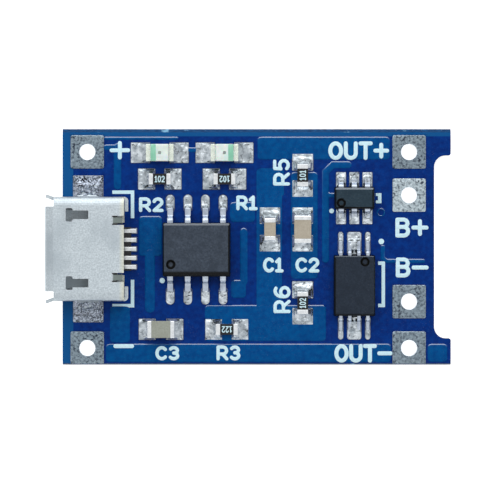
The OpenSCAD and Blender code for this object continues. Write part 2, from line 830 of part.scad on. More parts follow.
// Line of a solder foot, from the shell's side down and out along the pad
function foot_line() =
    let (
        start = shell_slope + 0.2,
        level = pad_top - board_thick + sheet / 2,
        bend = foot_bend + sheet / 2
    )
    bent_line([socket_width / 2 - sheet / 2, start, -90],
        [[start - level - bend, 90, bend], [foot_reach + sheet / 2 - bend, 0, 0]]);

// T-shaped window that the plug's latch springs up into
module latch_window() {
    head_length = 0.5;
    square_end = latch_length - head_length / 2;
    translate([0, -latch_width / 2])
        square([latch_length, latch_width]);
    translate([head_length / 2, 0])
        round_rectangle([head_length, latch_head], 0.12);
}

// Moulded housing with its tongue, cut for the contacts and for the roof's pressed tongues
module socket_insulator() {
    color([0.12, 0.12, 0.13])
        difference() {
            union() {
                translate([housing_front, socket_y, board_thick])
                    lengthwise(housing_rear - housing_front)
                        polygon(shell_section(sheet + shell_gap));
                translate([tongue_front, socket_y - tongue_width / 2, tongue_floor])
                    cube([housing_front - tongue_front + shell_gap, tongue_width, tongue_thick]);
            }
            contact_strips();
            for (side = [-1, 1])
                rear_notch(side, socket_height - housing_pocket);
        }
}

// Line of a contact, from the tongue's tip back through the housing and down to the board
function contact_line() =
    let (
        foot_level = pad_top + contact_thick / 2,
        bend = contact_bend + contact_thick / 2,
        fall = contact_level - foot_level
    )
    bent_line([tongue_front + 0.25, contact_level, 0], [
        [drop_x - bend - tongue_front - 0.25, -90, bend],
        [fall - 2 * bend, 90, bend],
        [tail_x - drop_x - bend, 0, 0]
    ]);

module contact_strips() {
    for (y = CONTACTS)
        translate([0, y, 0])
            depth_strip(contact_line(), contact_thick, contact_width);
}

module socket_contacts() {
    color([0.8, 0.8, 0.78])
        contact_strips();
}

module socket_contact_pads() {
    tail_start = tail_x - 0.55;
    color([0.75, 0.77, 0.8])
        difference() {
            translate([0, 0, pad_floor])
                linear_extrude(pad_thick)
                    contact_pad_outline();
            contact_strips();
        }
}

// Solder risen round a metal end, from its face and flanks out to the pad's edge
module solder_mound(end_width, pad_width, toe, flank, rise) {
    slope = [for (p = sag((pad_width - end_width) / 2, rise)) [p.x + end_width / 2, p.y + solder_edge]];
    along = [for (p = sag(toe, rise)) [p.x, p.y + solder_edge]];
    intersection() {
        upright(pad_width)
            polygon(concat([[toe, 0], [-flank, 0], [-flank, rise + solder_edge]], along));
        translate([-flank, 0, 0])
            lengthwise(flank + toe)
                polygon(concat(
                    [[pad_width / 2, 0], [-pad_width / 2, 0]],
                    [for (i = [len(slope) - 1:-1:0]) [-slope[i].x, slope[i].y]],
                    slope
                ));
    }
}

// Solder that holds the shell's two feet
module socket_anchor_solder() {
    color([0.7, 0.72, 0.75])
        difference() {
            union() {
                translate([0, 0, pad_floor])
                    linear_extrude(pad_thick)
                        anchor_pad_outline();
                for (side = [-1, 1])
                    translate([anchor_x, socket_y + side * socket_width / 2, pad_top])
                        rotate(side * 90)
                            solder_mound(foot_length, anchor_pad.x, anchor_pad.y - anchor_pad_inset - 0.02,
                                0, anchor_rise);
            }
            for (side = [-1, 1])
                translate([anchor_x - foot_length / 2, socket_y, board_thick])
                    mirror([0, side < 0 ? 1 : 0, 0])
                        lengthwise(foot_length)
                            polygon(strip(foot_line(), sheet));
        }
}

// Moulded body of a leaded chip, with a dimple that marks pin one
module moulded_body(size, bevel, dimple) {
    translate([0, 0, pad_top + chip_gap])
        difference() {
            intersection() {
                upright(size.y)
                    polygon(moulded_outline(size.x, size.z, 0));
                translate([-size.x / 2, 0, 0])
                    lengthwise(size.x)
                        polygon(moulded_outline(size.y, size.z, bevel));
            }
            translate([dimple.x, dimple.y, size.z - dimple_depth])
                cylinder(h = past, r = dimple_radius);
        }
}

// Two rows of gull wing leads
module lead_rows(size, span, columns, width, thick, bend, shoulder) {
    line = gull_line(size.y / 2 - lead_root, span, chip_gap + size.z / 2, thick, bend, shoulder);
    for (side = [0, 180], x = columns)
        rotate(side)
            translate([x - width / 2, 0, pad_top])
                lengthwise(width)
                    polygon(strip(line, thick));
}

// Lead columns of the three chips
charger_columns = [for (k = [-1.5:1:1.5]) k * charger_pitch];
protector_columns = [for (k = [-1:1]) k * protector_pitch];
switch_columns = [for (k = [-1.5:1:1.5]) k * switch_pitch];
charger_lead_thick = 0.2;
fine_lead_thick = 0.14;

module charger_lead_rows() {
    lead_rows(charger_size, charger_span, charger_columns, charger_lead, charger_lead_thick, 0.2, 0.1);
}

module protector_lead_rows() {
    lead_rows(protector_size, protector_span, protector_columns, protector_lead,
        fine_lead_thick, 0.12, 0.04);
}

module switch_lead_rows() {
    lead_rows(switch_size, switch_span, switch_columns, switch_lead, fine_lead_thick, 0.12, 0.15);
}

module charger_body() {
    color([0.2, 0.22, 0.25])
        difference() {
            moulded_body(charger_size, charger_bevel,
                [-charger_length / 2 + 0.6, -charger_width / 2 + 0.88]);
            charger_lead_rows();
        }
}

module charger_leads() {
    color([0.8, 0.82, 0.84]) charger_lead_rows();
}

module protector_body() {
    color([0.16, 0.2, 0.22])
        difference() {
            moulded_body(protector_size, 0, [-protector_length / 2 + 0.5, -protector_width / 2 + 0.45]);
            protector_lead_rows();
        }
}

module protector_leads() {
    color([0.8, 0.82, 0.84]) protector_lead_rows();
}

module switch_body() {
    color([0.14, 0.17, 0.2])
        difference() {
            moulded_body(switch_size, 0, [switch_length / 2 - 0.74, switch_width / 2 - 0.48]);
            switch_lead_rows();
        }
}

module switch_leads() {
    color([0.8, 0.82, 0.84]) switch_lead_rows();
}

// Pads of a leaded chip with the solder that wets its lead tips
module lead_solder(span, pad_span, joints, thick) {
    difference() {
        union() {
            translate([0, 0, pad_floor])
                linear_extrude(pad_thick)
                    children(0);
            intersection() {
                for (side = [-90, 90], joint = joints)
                    rotate(side)
                        translate([span / 2, joint[0], pad_top])
                            solder_mound(joint[1], joint[2], (pad_span - span) / 2, 0.3, thick);
                translate([0, 0, pad_top])
                    linear_extrude(past)
                        children(0);
            }
        }
        children(1);
    }
}

module charger_solder() {
    color([0.75, 0.77, 0.8])
        lead_solder(charger_span, charger_pad_span,
            [for (x = charger_columns) [x, charger_lead, charger_pad + 0.02]], charger_lead_thick) {
            charger_pad_outline();
            charger_lead_rows();
        }
}

module protector_solder() {
    color([0.75, 0.77, 0.8])
        lead_solder(protector_span, protector_pad_span,
            [for (x = protector_columns) [x, protector_lead, protector_pad + 0.02]], fine_lead_thick) {
            protector_pad_outline();
            protector_lead_rows();
        }
}

module switch_solder() {
    merged = [0, switch_pitch + switch_lead, switch_merged_pad + 0.02];
    color([0.75, 0.77, 0.8])
        lead_solder(switch_span, switch_pad_span,
            [[-1.5 * switch_pitch, switch_lead, switch_pad + 0.02], merged,
             [1.5 * switch_pitch, switch_lead, switch_pad + 0.02]], fine_lead_thick) {
            switch_pad_outline();
            switch_lead_rows();
        }
}

// Block with its twelve edges rounded
module soft_block(size, radius) {
    intersection() {
        linear_extrude(size.z)
            round_rectangle([size.x, size.y], radius);
        translate([0, 0, size.z / 2])
            upright(size.y)
                round_rectangle([size.x, size.z], radius);
        translate([-size.x / 2, 0, size.z / 2])
            lengthwise(size.x)
                round_rectangle([size.y, size.z], radius);
    }
}

// Middle part of a small chip part: full section between the ends, thinner inside them
module ceramic_core(size, wrap_sides) {
    side = wrap_sides ? 2 * cap_skin : 0;
    translate([0, 0, pad_top]) {
        translate([-size.x / 2 + end_cap, -size.y / 2 + cap_skin / 2, cap_skin / 2])
            cube([size.x - 2 * end_cap, size.y - cap_skin, size.z - cap_skin]);
        translate([-size.x / 2 + cap_skin, -(size.y - side) / 2 + cap_skin, cap_skin])
            cube([size.x - 2 * cap_skin, size.y - side - 2 * cap_skin, size.z - 2 * cap_skin]);
    }
}

// Two metal ends that wrap a small chip part
module metal_ends(size, radius) {
    difference() {
        translate([0, 0, pad_top])
            soft_block(size, radius);
        translate([-size.x / 2 + end_cap, -size.y, 0])
            cube([size.x - 2 * end_cap, 2 * size.y, pad_top + 2 * size.z]);
        children();
    }
}

module resistor_body() {
    coat = [resistor_length - 2 * end_cap, resistor_width - 2 * cap_skin, cap_skin / 2];
    color([0.1, 0.11, 0.12]) {
        ceramic_core(resistor_size, false);
        translate([-coat.x / 2, -coat.y / 2, pad_top + resistor_height - cap_skin / 2])
            cube(coat);
    }
}

module resistor_ends() {
    color([0.82, 0.83, 0.84])
        metal_ends(resistor_size, 0.04)
            ceramic_core(resistor_size, false);
}

module capacitor_body(size) {
    color([0.66, 0.6, 0.5]) ceramic_core(size, true);
}

module capacitor_ends(size) {
    color([0.85, 0.86, 0.86])
        metal_ends(size, 0.09)
            ceramic_core(size, true);
}

// Pads of a small part with the solder risen round its two ends
module end_solder(size, over, pad_width, rise) {
    color([0.75, 0.77, 0.8])
        difference() {
            union() {
                translate([0, 0, pad_floor])
                    linear_extrude(pad_thick)
                        children();
                both_ends()
                    translate([size.x / 2, 0, pad_top])
                        solder_mound(size.y, pad_width, (over - size.x) / 2, end_cap, rise);
            }
            translate([-size.x / 2, -size.y / 2, pad_top])
                cube([size.x, size.y, size.z]);
        }
}

module resistor_solder() {
    end_solder(resistor_size, resistor_pads, small_pad_width, resistor_height * 0.72)
        resistor_pad_outline();
}

module capacitor_solder(size) {
    end_solder(size, capacitor_pads, small_pad_width, size.z * 0.55)
        capacitor_pad_outline();
}

module lamp_solder() {
    end_solder(lamp_size, lamp_pads, lamp_pad_width, lamp_base * 0.8)
        lamp_pad_outline();
}

// Lamp base plate; its two ends are thinner where the metal wraps them
module lamp_base_plate() {
    color([0.9, 0.9, 0.86])
        ceramic_core(lamp_size, false);
}

module lamp_ends() {
    color([0.85, 0.83, 0.75])
        metal_ends(lamp_size, 0.03)
            ceramic_core(lamp_size, false);
}

// Moulded lens with ends that lean in
module lamp_lens_block() {
    lean = 0.1;
    color([0.88, 0.95, 0.93, 0.8])
        translate([0, 0, pad_top + lamp_base])
            upright(lamp_width)
                polygon([
                    [-lens_length / 2, 0], [lens_length / 2, 0],
                    [lens_length / 2 - lean, lamp_lens], [-lens_length / 2 + lean, lamp_lens]
                ]);
}

circuit_board();
legend_marks();
terminal(in_plus);  // in_plus_terminal
terminal(in_minus);  // in_minus_terminal
terminal(out_plus);  // out_plus_terminal
terminal(out_minus);  // out_minus_terminal
terminal(battery_plus);  // battery_plus_terminal
terminal(battery_minus);  // battery_minus_terminal
socket_shell();
socket_insulator();
socket_contacts();
socket_contact_pads();
socket_anchor_solder();
at(charger_at) charger_body();
at(charger_at) charger_leads();
at(charger_at) charger_solder();
at(protector_at) protector_body();
at(protector_at) protector_leads();
at(protector_at) protector_solder();
at(switch_at) switch_body();
at(switch_at) switch_leads();
at(switch_at) switch_solder();
at(left_lamp_at) lamp_base_plate();  // left_lamp_base
at(left_lamp_at) lamp_lens_block();  // left_lamp_lens
at(left_lamp_at) lamp_ends();  // left_lamp_ends
at(left_lamp_at) lamp_solder();  // left_lamp_solder
at(right_lamp_at) lamp_base_plate();  // right_lamp_base
at(right_lamp_at) lamp_lens_block();  // right_lamp_lens
at(right_lamp_at) lamp_ends();  // right_lamp_ends
at(right_lamp_at) lamp_solder();  // right_lamp_solder
at(r1_at) resistor_body();  // r1_body
at(r1_at) resistor_ends();  // r1_ends
at(r1_at) resistor_solder();  // r1_solder
at(r2_at) resistor_body();  // r2_body
at(r2_at) resistor_ends();  // r2_ends
at(r2_at) resistor_solder();  // r2_solder
at(r3_at) resistor_body();  // r3_body
at(r3_at) resistor_ends();  // r3_ends
at(r3_at) resistor_solder();  // r3_solder
at(r5_at) resistor_body();  // r5_body
at(r5_at) resistor_ends();  // r5_ends
at(r5_at) resistor_solder();  // r5_solder
at(r6_at) resistor_body();  // r6_body
at(r6_at) resistor_ends();  // r6_ends
at(r6_at) resistor_solder();  // r6_solder
at(c1_at) capacitor_body(small_capacitor_size);  // c1_body
at(c1_at) capacitor_ends(small_capacitor_size);  // c1_ends
at(c1_at) capacitor_solder(small_capacitor_size);  // c1_solder
at(c2_at) capacitor_body(large_capacitor_size);  // c2_body
at(c2_at) capacitor_ends(large_capacitor_size);  // c2_ends
at(c2_at) capacitor_solder(large_capacitor_size);  // c2_solder
at(c3_at) capacitor_body(large_capacitor_size);  // c3_body
at(c3_at) capacitor_ends(large_capacitor_size);  // c3_ends
at(c3_at) capacitor_solder(large_capacitor_size);  // c3_solder
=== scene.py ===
"""Looks and studio of a lithium battery charger module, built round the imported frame."""

import logging
from dataclasses import dataclass
from enum import Enum

import bpy
import numpy as np
from mathutils import Matrix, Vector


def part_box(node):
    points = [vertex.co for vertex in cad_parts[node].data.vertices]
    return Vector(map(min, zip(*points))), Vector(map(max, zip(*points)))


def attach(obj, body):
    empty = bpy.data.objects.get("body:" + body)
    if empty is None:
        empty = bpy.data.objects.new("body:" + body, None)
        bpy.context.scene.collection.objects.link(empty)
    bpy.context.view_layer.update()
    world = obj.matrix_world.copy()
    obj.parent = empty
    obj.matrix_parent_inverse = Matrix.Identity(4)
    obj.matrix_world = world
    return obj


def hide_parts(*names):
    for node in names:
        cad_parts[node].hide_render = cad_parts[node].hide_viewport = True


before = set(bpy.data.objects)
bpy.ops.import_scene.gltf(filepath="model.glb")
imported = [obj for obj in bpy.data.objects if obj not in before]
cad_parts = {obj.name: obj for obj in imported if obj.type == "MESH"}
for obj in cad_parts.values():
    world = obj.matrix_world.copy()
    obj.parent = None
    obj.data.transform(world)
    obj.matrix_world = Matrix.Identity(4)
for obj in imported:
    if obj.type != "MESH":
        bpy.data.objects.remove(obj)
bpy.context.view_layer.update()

log = logging.getLogger("charger_module")

MM = 0.001
BOARD_TOP = 1.2
Colour = tuple[int, int, int]
Socket = bpy.types.NodeSocket


def linear(colour: Colour) -> tuple[float, float, float, float]:
    """Turn a screen colour into linear light.

    Args:
        colour: Red, green and blue from 0 to 255.

    Returns:
        Red, green, blue and alpha as the shader takes them.
    """
    part = np.asarray(colour, float) / 255
    light = np.where(part <= 0.04045, part / 12.92, ((part + 0.055) / 1.055) ** 2.4)
    return (*light.tolist(), 1.0)


class ShaderTree:
    """Adds nodes to a node tree and joins them on the way."""

    def __init__(self, tree: bpy.types.NodeTree) -> None:
        """Keep the tree that the nodes go into."""
        self.tree = tree

    def add(self, kind: str, inputs: dict | None = None, **settings: object) -> bpy.types.Node:
        """Add one node.

        Args:
            kind: Name of the node's type.
            inputs: Values or sockets for its inputs, by name or index.
            settings: Properties of the node itself.

        Returns:
            The new node.
        """
        node = self.tree.nodes.new(kind)
        for name, value in settings.items():
            setattr(node, name, value)
        for name, value in (inputs or {}).items():
            if isinstance(value, Socket):
                self.tree.links.new(value, node.inputs[name])
            else:
                node.inputs[name].default_value = value
        return node

    def math(self, operation: str, first: object, second: object = 0.0) -> Socket:
        """Join two values by a clamped Math node and return its output."""
        return self.add("ShaderNodeMath", {0: first, 1: second}, operation=operation, use_clamp=True).outputs[0]

    def mix(self, share: object, first: object, second: object) -> Socket:
        """Mix two colours by a share and return the colour."""
        return self.add("ShaderNodeMix", {0: share, 6: first, 7: second}, data_type="RGBA").outputs[2]

    def spread(self, value: Socket, low: float, high: float, to_low: float = 0.0, to_high: float = 1.0) -> Socket:
        """Map a value from one range onto another, clamped, and return it."""
        return self.add("ShaderNodeMapRange", {0: value, 1: low, 2: high, 3: to_low, 4: to_high}).outputs[0]

    def noise(self, where: Socket, scale: object, detail: float = 3.0) -> Socket:
        """Add a noise texture and return its value."""
        return self.add("ShaderNodeTexNoise", {"Vector": where, "Scale": scale, "Detail": detail}).outputs[0]

    def background_rays(self) -> Socket:
        """Return 1 for rays from the camera, off a glossy surface or through glass."""
        path = self.add("ShaderNodeLightPath").outputs
        mirrored = self.math("ADD", path["Is Glossy Ray"], path["Is Transmission Ray"])
        return self.math("ADD", path["Is Camera Ray"], mirrored)

    def object_millimetres(self) -> Socket:
        """Return the object's own coordinates in millimetres."""
        place = self.add("ShaderNodeTexCoord").outputs["Object"]
        return self.add("ShaderNodeVectorMath", {0: place, "Scale": 1 / MM}, operation="SCALE").outputs[0]


class Effect(Enum):
    """Effects that more than one finish uses."""

    GRAIN = "fine_grain"
    WEAR = "edge_wear"
    DUST = "settled_dust"


class EffectLibrary:
    """Shader groups for the shared effects, each built once."""

    def __init__(self) -> None:
        """Build every group."""
        self.groups = {
            Effect.GRAIN: self._grain(),
            Effect.WEAR: self._wear(),
            Effect.DUST: self._dust(),
        }

    @staticmethod
    def _start(effect: Effect, inputs: dict[str, tuple[str, float | None]], output: str) -> tuple:
        """Make an empty group with its sockets.

        Args:
            effect: The effect, which names the group.
            inputs: Socket type and value of each input.
            output: Name of the one output.

        Returns:
            The shader tree, its input node and its output node.
        """
        tree = bpy.data.node_groups.new(effect.value, "ShaderNodeTree")
        for name, (kind, value) in inputs.items():
            socket = tree.interface.new_socket(name, in_out="INPUT", socket_type=kind)
            if value is not None:
                socket.default_value = value
        tree.interface.new_socket(output, in_out="OUTPUT", socket_type="NodeSocketFloat")
        shader = ShaderTree(tree)
        return shader, shader.add("NodeGroupInput"), shader.add("NodeGroupOutput")

    def _grain(self) -> bpy.types.NodeTree:
        """Fine grain: noise at so many grains a millimetre, harder as its softness falls."""
        shader, entry, leave = self._start(Effect.GRAIN, {
            "Place": ("NodeSocketVector", None), "Per millimetre": ("NodeSocketFloat", 8.0),
            "Softness": ("NodeSocketFloat", 0.5)}, "Value")
        raw = shader.noise(entry.outputs["Place"], entry.outputs["Per millimetre"], 4.0)
        half = shader.math("MULTIPLY", entry.outputs["Softness"], 0.3)
        low, high = shader.math("SUBTRACT", 0.5, half), shader.math("ADD", 0.5, half)
        value = shader.add("ShaderNodeMapRange", {0: raw, 1: high, 2: low, 3: 1.0, 4: 0.0}).outputs[0]
        shader.tree.links.new(value, leave.inputs["Value"])
        return shader.tree

    def _wear(self) -> bpy.types.NodeTree:
        """Edge wear: how far the softened normal turns from the true one, broken up by noise."""
        shader, entry, leave = self._start(Effect.WEAR, {
            "Place": ("NodeSocketVector", None), "Radius": ("NodeSocketFloat", 0.03 * MM)}, "Mask")
        soft = shader.add("ShaderNodeBevel", {"Radius": entry.outputs["Radius"]}, samples=4).outputs[0]
        true = shader.add("ShaderNodeNewGeometry").outputs["Normal"]
        match = shader.add("ShaderNodeVectorMath", {0: soft, 1: true}, operation="DOT_PRODUCT").outputs["Value"]
        edge = shader.spread(match, 0.98, 0.8)
        broken = shader.spread(shader.noise(entry.outputs["Place"], 7.0), 0.35, 0.6)
        shader.tree.links.new(shader.math("MULTIPLY", edge, broken), leave.inputs["Mask"])
        return shader.tree

    def _dust(self) -> bpy.types.NodeTree:
        """Settled dust: sparse specks in cloudy patches, on faces that look up."""
        shader, entry, leave = self._start(Effect.DUST, {
            "Place": ("NodeSocketVector", None), "Amount": ("NodeSocketFloat", 0.2)}, "Mask")
        place = entry.outputs["Place"]
        specks = shader.spread(shader.noise(place, 16.0, 1.0), 0.66, 0.74)
        clouds = shader.spread(shader.noise(place, 0.5), 0.35, 0.7)
        normal = shader.add("ShaderNodeNewGeometry").outputs["Normal"]
        rise = shader.add("ShaderNodeSeparateXYZ", {0: normal}).outputs["Z"]
        patch = shader.math("MULTIPLY", shader.math("MULTIPLY", specks, clouds), shader.spread(rise, 0.2, 0.9))
        shader.tree.links.new(shader.math("MULTIPLY", patch, entry.outputs["Amount"]), leave.inputs["Mask"])
        return shader.tree

    def use(self, shader: ShaderTree, effect: Effect, place: Socket, **values: float) -> Socket:
        """Place a group in a material.

        Args:
            shader: Tree of the material.
            effect: The effect wanted.
            place: Coordinates in millimetres.
            values: The group's other inputs, with underscores for spaces.

        Returns:
            The group's output.
        """
        node = shader.add("ShaderNodeGroup", node_tree=self.groups[effect])
        shader.tree.links.new(place, node.inputs["Place"])
        for name, value in values.items():
            node.inputs[name.replace("_", " ")].default_value = value
        return node.outputs[0]


@dataclass(frozen=True)
class Finish:
    """One finish: two tones broken by grain, a lighter colour on the edges that is partly wear and partly a painted
    highlight, where set a painted highlight on faces that lean, and a little dust.
    """

    name: str
    tone: Colour
    deep: Colour
    roughness: tuple[float, float] = (0.4, 0.55)
    metallic: float = 0.0
    grains: float = 8.0
    softness: float = 0.6
    relief: float = 0.002
    worn_and_highlight: Colour = (200, 200, 200)
    edge_wear_and_highlight: float = 0.0
    slope_highlight: float = 0.0
    dust: float = 0.1
    coat: float = 0.0
    shine: float = 0.5
    slope_coat: float = 0.0
    clouds: float = 0.0
    see_through: float = 0.0

    def colour(self, shader: ShaderTree, place: Socket, grain: Socket) -> Socket:
        """Colour before wear and dust; a finish with more than one layer gives its own."""
        tones = shader.mix(grain, linear(self.deep), linear(self.tone))
        if not self.clouds:
            return tones
        cloudy = shader.spread(shader.noise(place, self.clouds, 2.0), 0.42, 0.66)
        return shader.mix(shader.math("MULTIPLY", cloudy, 0.7), tones, linear(self.deep))

    def build(self, effects: EffectLibrary) -> bpy.types.Material:
        """Make the material.

        Args:
            effects: The shared shader groups.

        Returns:
            The finished material.
        """
        material = bpy.data.materials.new(self.name)
        material.use_nodes = True
        shader = ShaderTree(material.node_tree)
        surface = shader.tree.nodes["Principled BSDF"]
        place = shader.object_millimetres()
        grain = effects.use(shader, Effect.GRAIN, place, Per_millimetre=self.grains, Softness=self.softness)
        colour = self.colour(shader, place, grain)
        # Lighter colour on the edges: real wear, and on the tin finishes a painted highlight along their rims.
        if self.edge_wear_and_highlight:
            edge = effects.use(shader, Effect.WEAR, place)
            colour = shader.mix(shader.math("MULTIPLY", edge, self.edge_wear_and_highlight), colour, linear(self.worn_and_highlight))
        dust = effects.use(shader, Effect.DUST, place, Amount=self.dust)
        colour = shader.mix(dust, colour, linear((205, 208, 205)))
        rough = shader.spread(grain, 0.0, 1.0, *self.roughness)
        bump = shader.add("ShaderNodeBump", {"Strength": 1.0, "Distance": self.relief * MM, "Height": grain})
        for name, socket in (("Base Color", colour), ("Roughness", rough), ("Normal", bump.outputs[0])):
            shader.tree.links.new(socket, surface.inputs[name])
        surface.inputs["Metallic"].default_value = self.metallic
        # Painted highlight: faces that lean away from upright take the pale colour and lose some metal, so rims and
        # flanks look lit.
        if self.slope_highlight:
            rise = shader.add("ShaderNodeSeparateXYZ", {0: shader.add("ShaderNodeNewGeometry").outputs["Normal"]})
            level = shader.spread(rise.outputs["Z"], 0.35, 0.8)
            shader.tree.links.new(shader.mix(level, linear(self.worn_and_highlight), colour), surface.inputs["Base Color"])
            metal = shader.spread(level, 0.0, 1.0, self.metallic * (1 - self.slope_highlight), self.metallic)
            shader.tree.links.new(metal, surface.inputs["Metallic"])
        surface.inputs["Coat Weight"].default_value = self.coat
        if self.slope_coat:
            slope = shader.add("ShaderNodeSeparateXYZ", {0: shader.add("ShaderNodeNewGeometry").outputs["Normal"]})
            glossy = shader.spread(slope.outputs["Y"], 0.12, 0.4, self.coat, self.slope_coat)
            shader.tree.links.new(glossy, surface.inputs["Coat Weight"])
        surface.inputs["Coat Roughness"].default_value = 0.08
        surface.inputs["Coat IOR"].default_value = 2.4 if self.slope_coat else 1.5
        surface.inputs["Specular IOR Level"].default_value = self.shine
        surface.inputs["Subsurface Weight"].default_value = self.see_through
        surface.inputs["Subsurface Scale"].default_value = 0.3 * MM
        return material


@dataclass(frozen=True)
class MaskedLaminate(Finish):
    """Solder mask on two faces with a paler band along the left and far rims that is a painted reflection, and
    laminate on the edges.

    The sloped score keeps a blue stain, and the upright cut shows the woven laminate.
    """

    # Colour of the painted reflection band along the left and far rims
    band: Colour = (14, 82, 142)
    sheen_band_left: float = -13.25
    sheen_band_far: float = 7.95
    laminate: Colour = (150, 150, 112)
    fibre: Colour = (98, 102, 78)
    score: Colour = (22, 78, 128)
    score_deep: Colour = (8, 42, 84)
    score_fleck: Colour = (120, 170, 200)

    def colour(self, shader: ShaderTree, place: Socket, grain: Socket) -> Socket:
        """Mask where the face looks up or down, stain on the score, layered fibres on upright edges."""
        mask = shader.mix(grain, linear(self.deep), linear(self.tone))
        where = shader.add("ShaderNodeSeparateXYZ", {0: place})
        # Painted reflection: the mask turns paler past the left and far limits.
        left = shader.spread(where.outputs["X"], self.sheen_band_left + 0.05, self.sheen_band_left)
        far = shader.spread(where.outputs["Y"], self.sheen_band_far, self.sheen_band_far + 0.05)
        mask = shader.mix(shader.math("ADD", left, far), mask, linear(self.band))
        layers = shader.add("ShaderNodeVectorMath", {0: place, 1: (3.0, 3.0, 22.0)}, operation="MULTIPLY").outputs[0]
        weave = shader.spread(shader.noise(layers, 1.0, 2.0), 0.35, 0.65)
        cut = shader.mix(weave, linear(self.fibre), linear(self.laminate))
        normal = shader.add("ShaderNodeNewGeometry").outputs["Normal"]
        height = shader.add("ShaderNodeSeparateXYZ", {0: normal}).outputs["Z"]
        level = shader.math("ABSOLUTE", height)
        flecks = shader.spread(shader.noise(place, 1.4, 4.0), 0.67, 0.73)
        score = shader.mix(flecks, shader.mix(weave, linear(self.score_deep), linear(self.score)),
                           linear(self.score_fleck))
        edge = shader.mix(shader.spread(level, 0.12, 0.22), cut, score)
        return shader.mix(shader.spread(level, 0.9, 0.96), edge, mask)


@dataclass(frozen=True)
class FleckedTin(Finish):
    """Tin that froze in small grains, with dark flecks that gather in patches."""

    fleck: Colour = (44, 52, 66)
    flecks: float = 5.5
    patches: float = 0.8
    harder: float = 0.12

    def colour(self, shader: ShaderTree, place: Socket, grain: Socket) -> Socket:
        """Two tones of tin with the flecks over them."""
        tones = super().colour(shader, place, grain)
        patch = shader.spread(shader.noise(place, self.patches, 2.0), 0.36, 0.62, 0.35, 1.0)
        specks = shader.spread(shader.noise(place, self.flecks, 4.0), 0.49, 0.49 + self.harder)
        return shader.mix(shader.math("MULTIPLY", specks, patch), tones, linear(self.fleck))


@dataclass(frozen=True)
class ShadedSolder(Finish):
    """Bright solder with thin winding dark streaks of painted shadow, and painted shade on its far flanks."""

    streak_shade: Colour = (40, 40, 44)
    far_flank_shade: Colour = (84, 92, 96)
    winding: float = 1.5
    narrow: float = 0.022

    def colour(self, shader: ShaderTree, place: Socket, grain: Socket) -> Socket:
        """Two tones, painted shade where a flank leans to the far side, and painted shadow streaks along a noise's
        middle.
        """
        normal = shader.add("ShaderNodeNewGeometry").outputs["Normal"]
        lean = shader.add("ShaderNodeSeparateXYZ", {0: normal}).outputs["Y"]
        # Painted shade on flanks that lean to the far side
        flank = shader.spread(lean, 0.2, 0.5, 0.0, 0.85)
        tones = shader.mix(flank, super().colour(shader, place, grain), linear(self.far_flank_shade))
        # Painted shadow: thin dark streaks along the middle of a noise, in patches
        value = shader.noise(place, self.winding, 3.0)
        below = shader.spread(value, 0.5 - self.narrow, 0.5)
        above = shader.spread(value, 0.5 + self.narrow, 0.5)
        patch = shader.spread(shader.noise(place, 2.4, 1.0), 0.4, 0.55)
        streak_shade = shader.math("MULTIPLY", shader.math("MULTIPLY", below, above), patch)
        return shader.mix(streak_shade, tones, linear(self.streak_shade))


@dataclass(frozen=True)
class MouldedEpoxy(Finish):
    """Chip moulding: mottled top, painted near-black shade on its sides, bevels and dimple walls, and a painted
    highlight line along the top's far edge.
    """

    # Painted shade on every face that doesn't look up, the dimple's walls included
    side: Colour = (6, 8, 10)
    # Painted highlight along the top's far edge
    line: Colour = (136, 142, 150)
    highlight_from: float = 1.4

    def colour(self, shader: ShaderTree, place: Socket, grain: Socket) -> Socket:
        """The top's tones where the face looks up, the painted highlight line on the far bevel, the painted shade of
        the side elsewhere.
        """
        top = super().colour(shader, place, grain)
        normal = shader.add("ShaderNodeNewGeometry").outputs["Normal"]
        parts = shader.add("ShaderNodeSeparateXYZ", {0: normal})
        # Painted shade: faces that don't look up take the near-black side colour.
        level = shader.spread(parts.outputs["Z"], 0.93, 0.985)
        # Painted highlight: a pale line on the bevel at the top's far edge.
        far = shader.math("MULTIPLY", shader.spread(parts.outputs["Y"], 0.1, 0.3),
                          shader.spread(parts.outputs["Z"], 0.3, 0.6))
        along = shader.add("ShaderNodeSeparateXYZ", {0: place}).outputs["Y"]
        far = shader.math("MULTIPLY", far, shader.spread(along, self.highlight_from, self.highlight_from + 0.02))
        return shader.mix(level, shader.mix(far, linear(self.side), linear(self.line)), top)


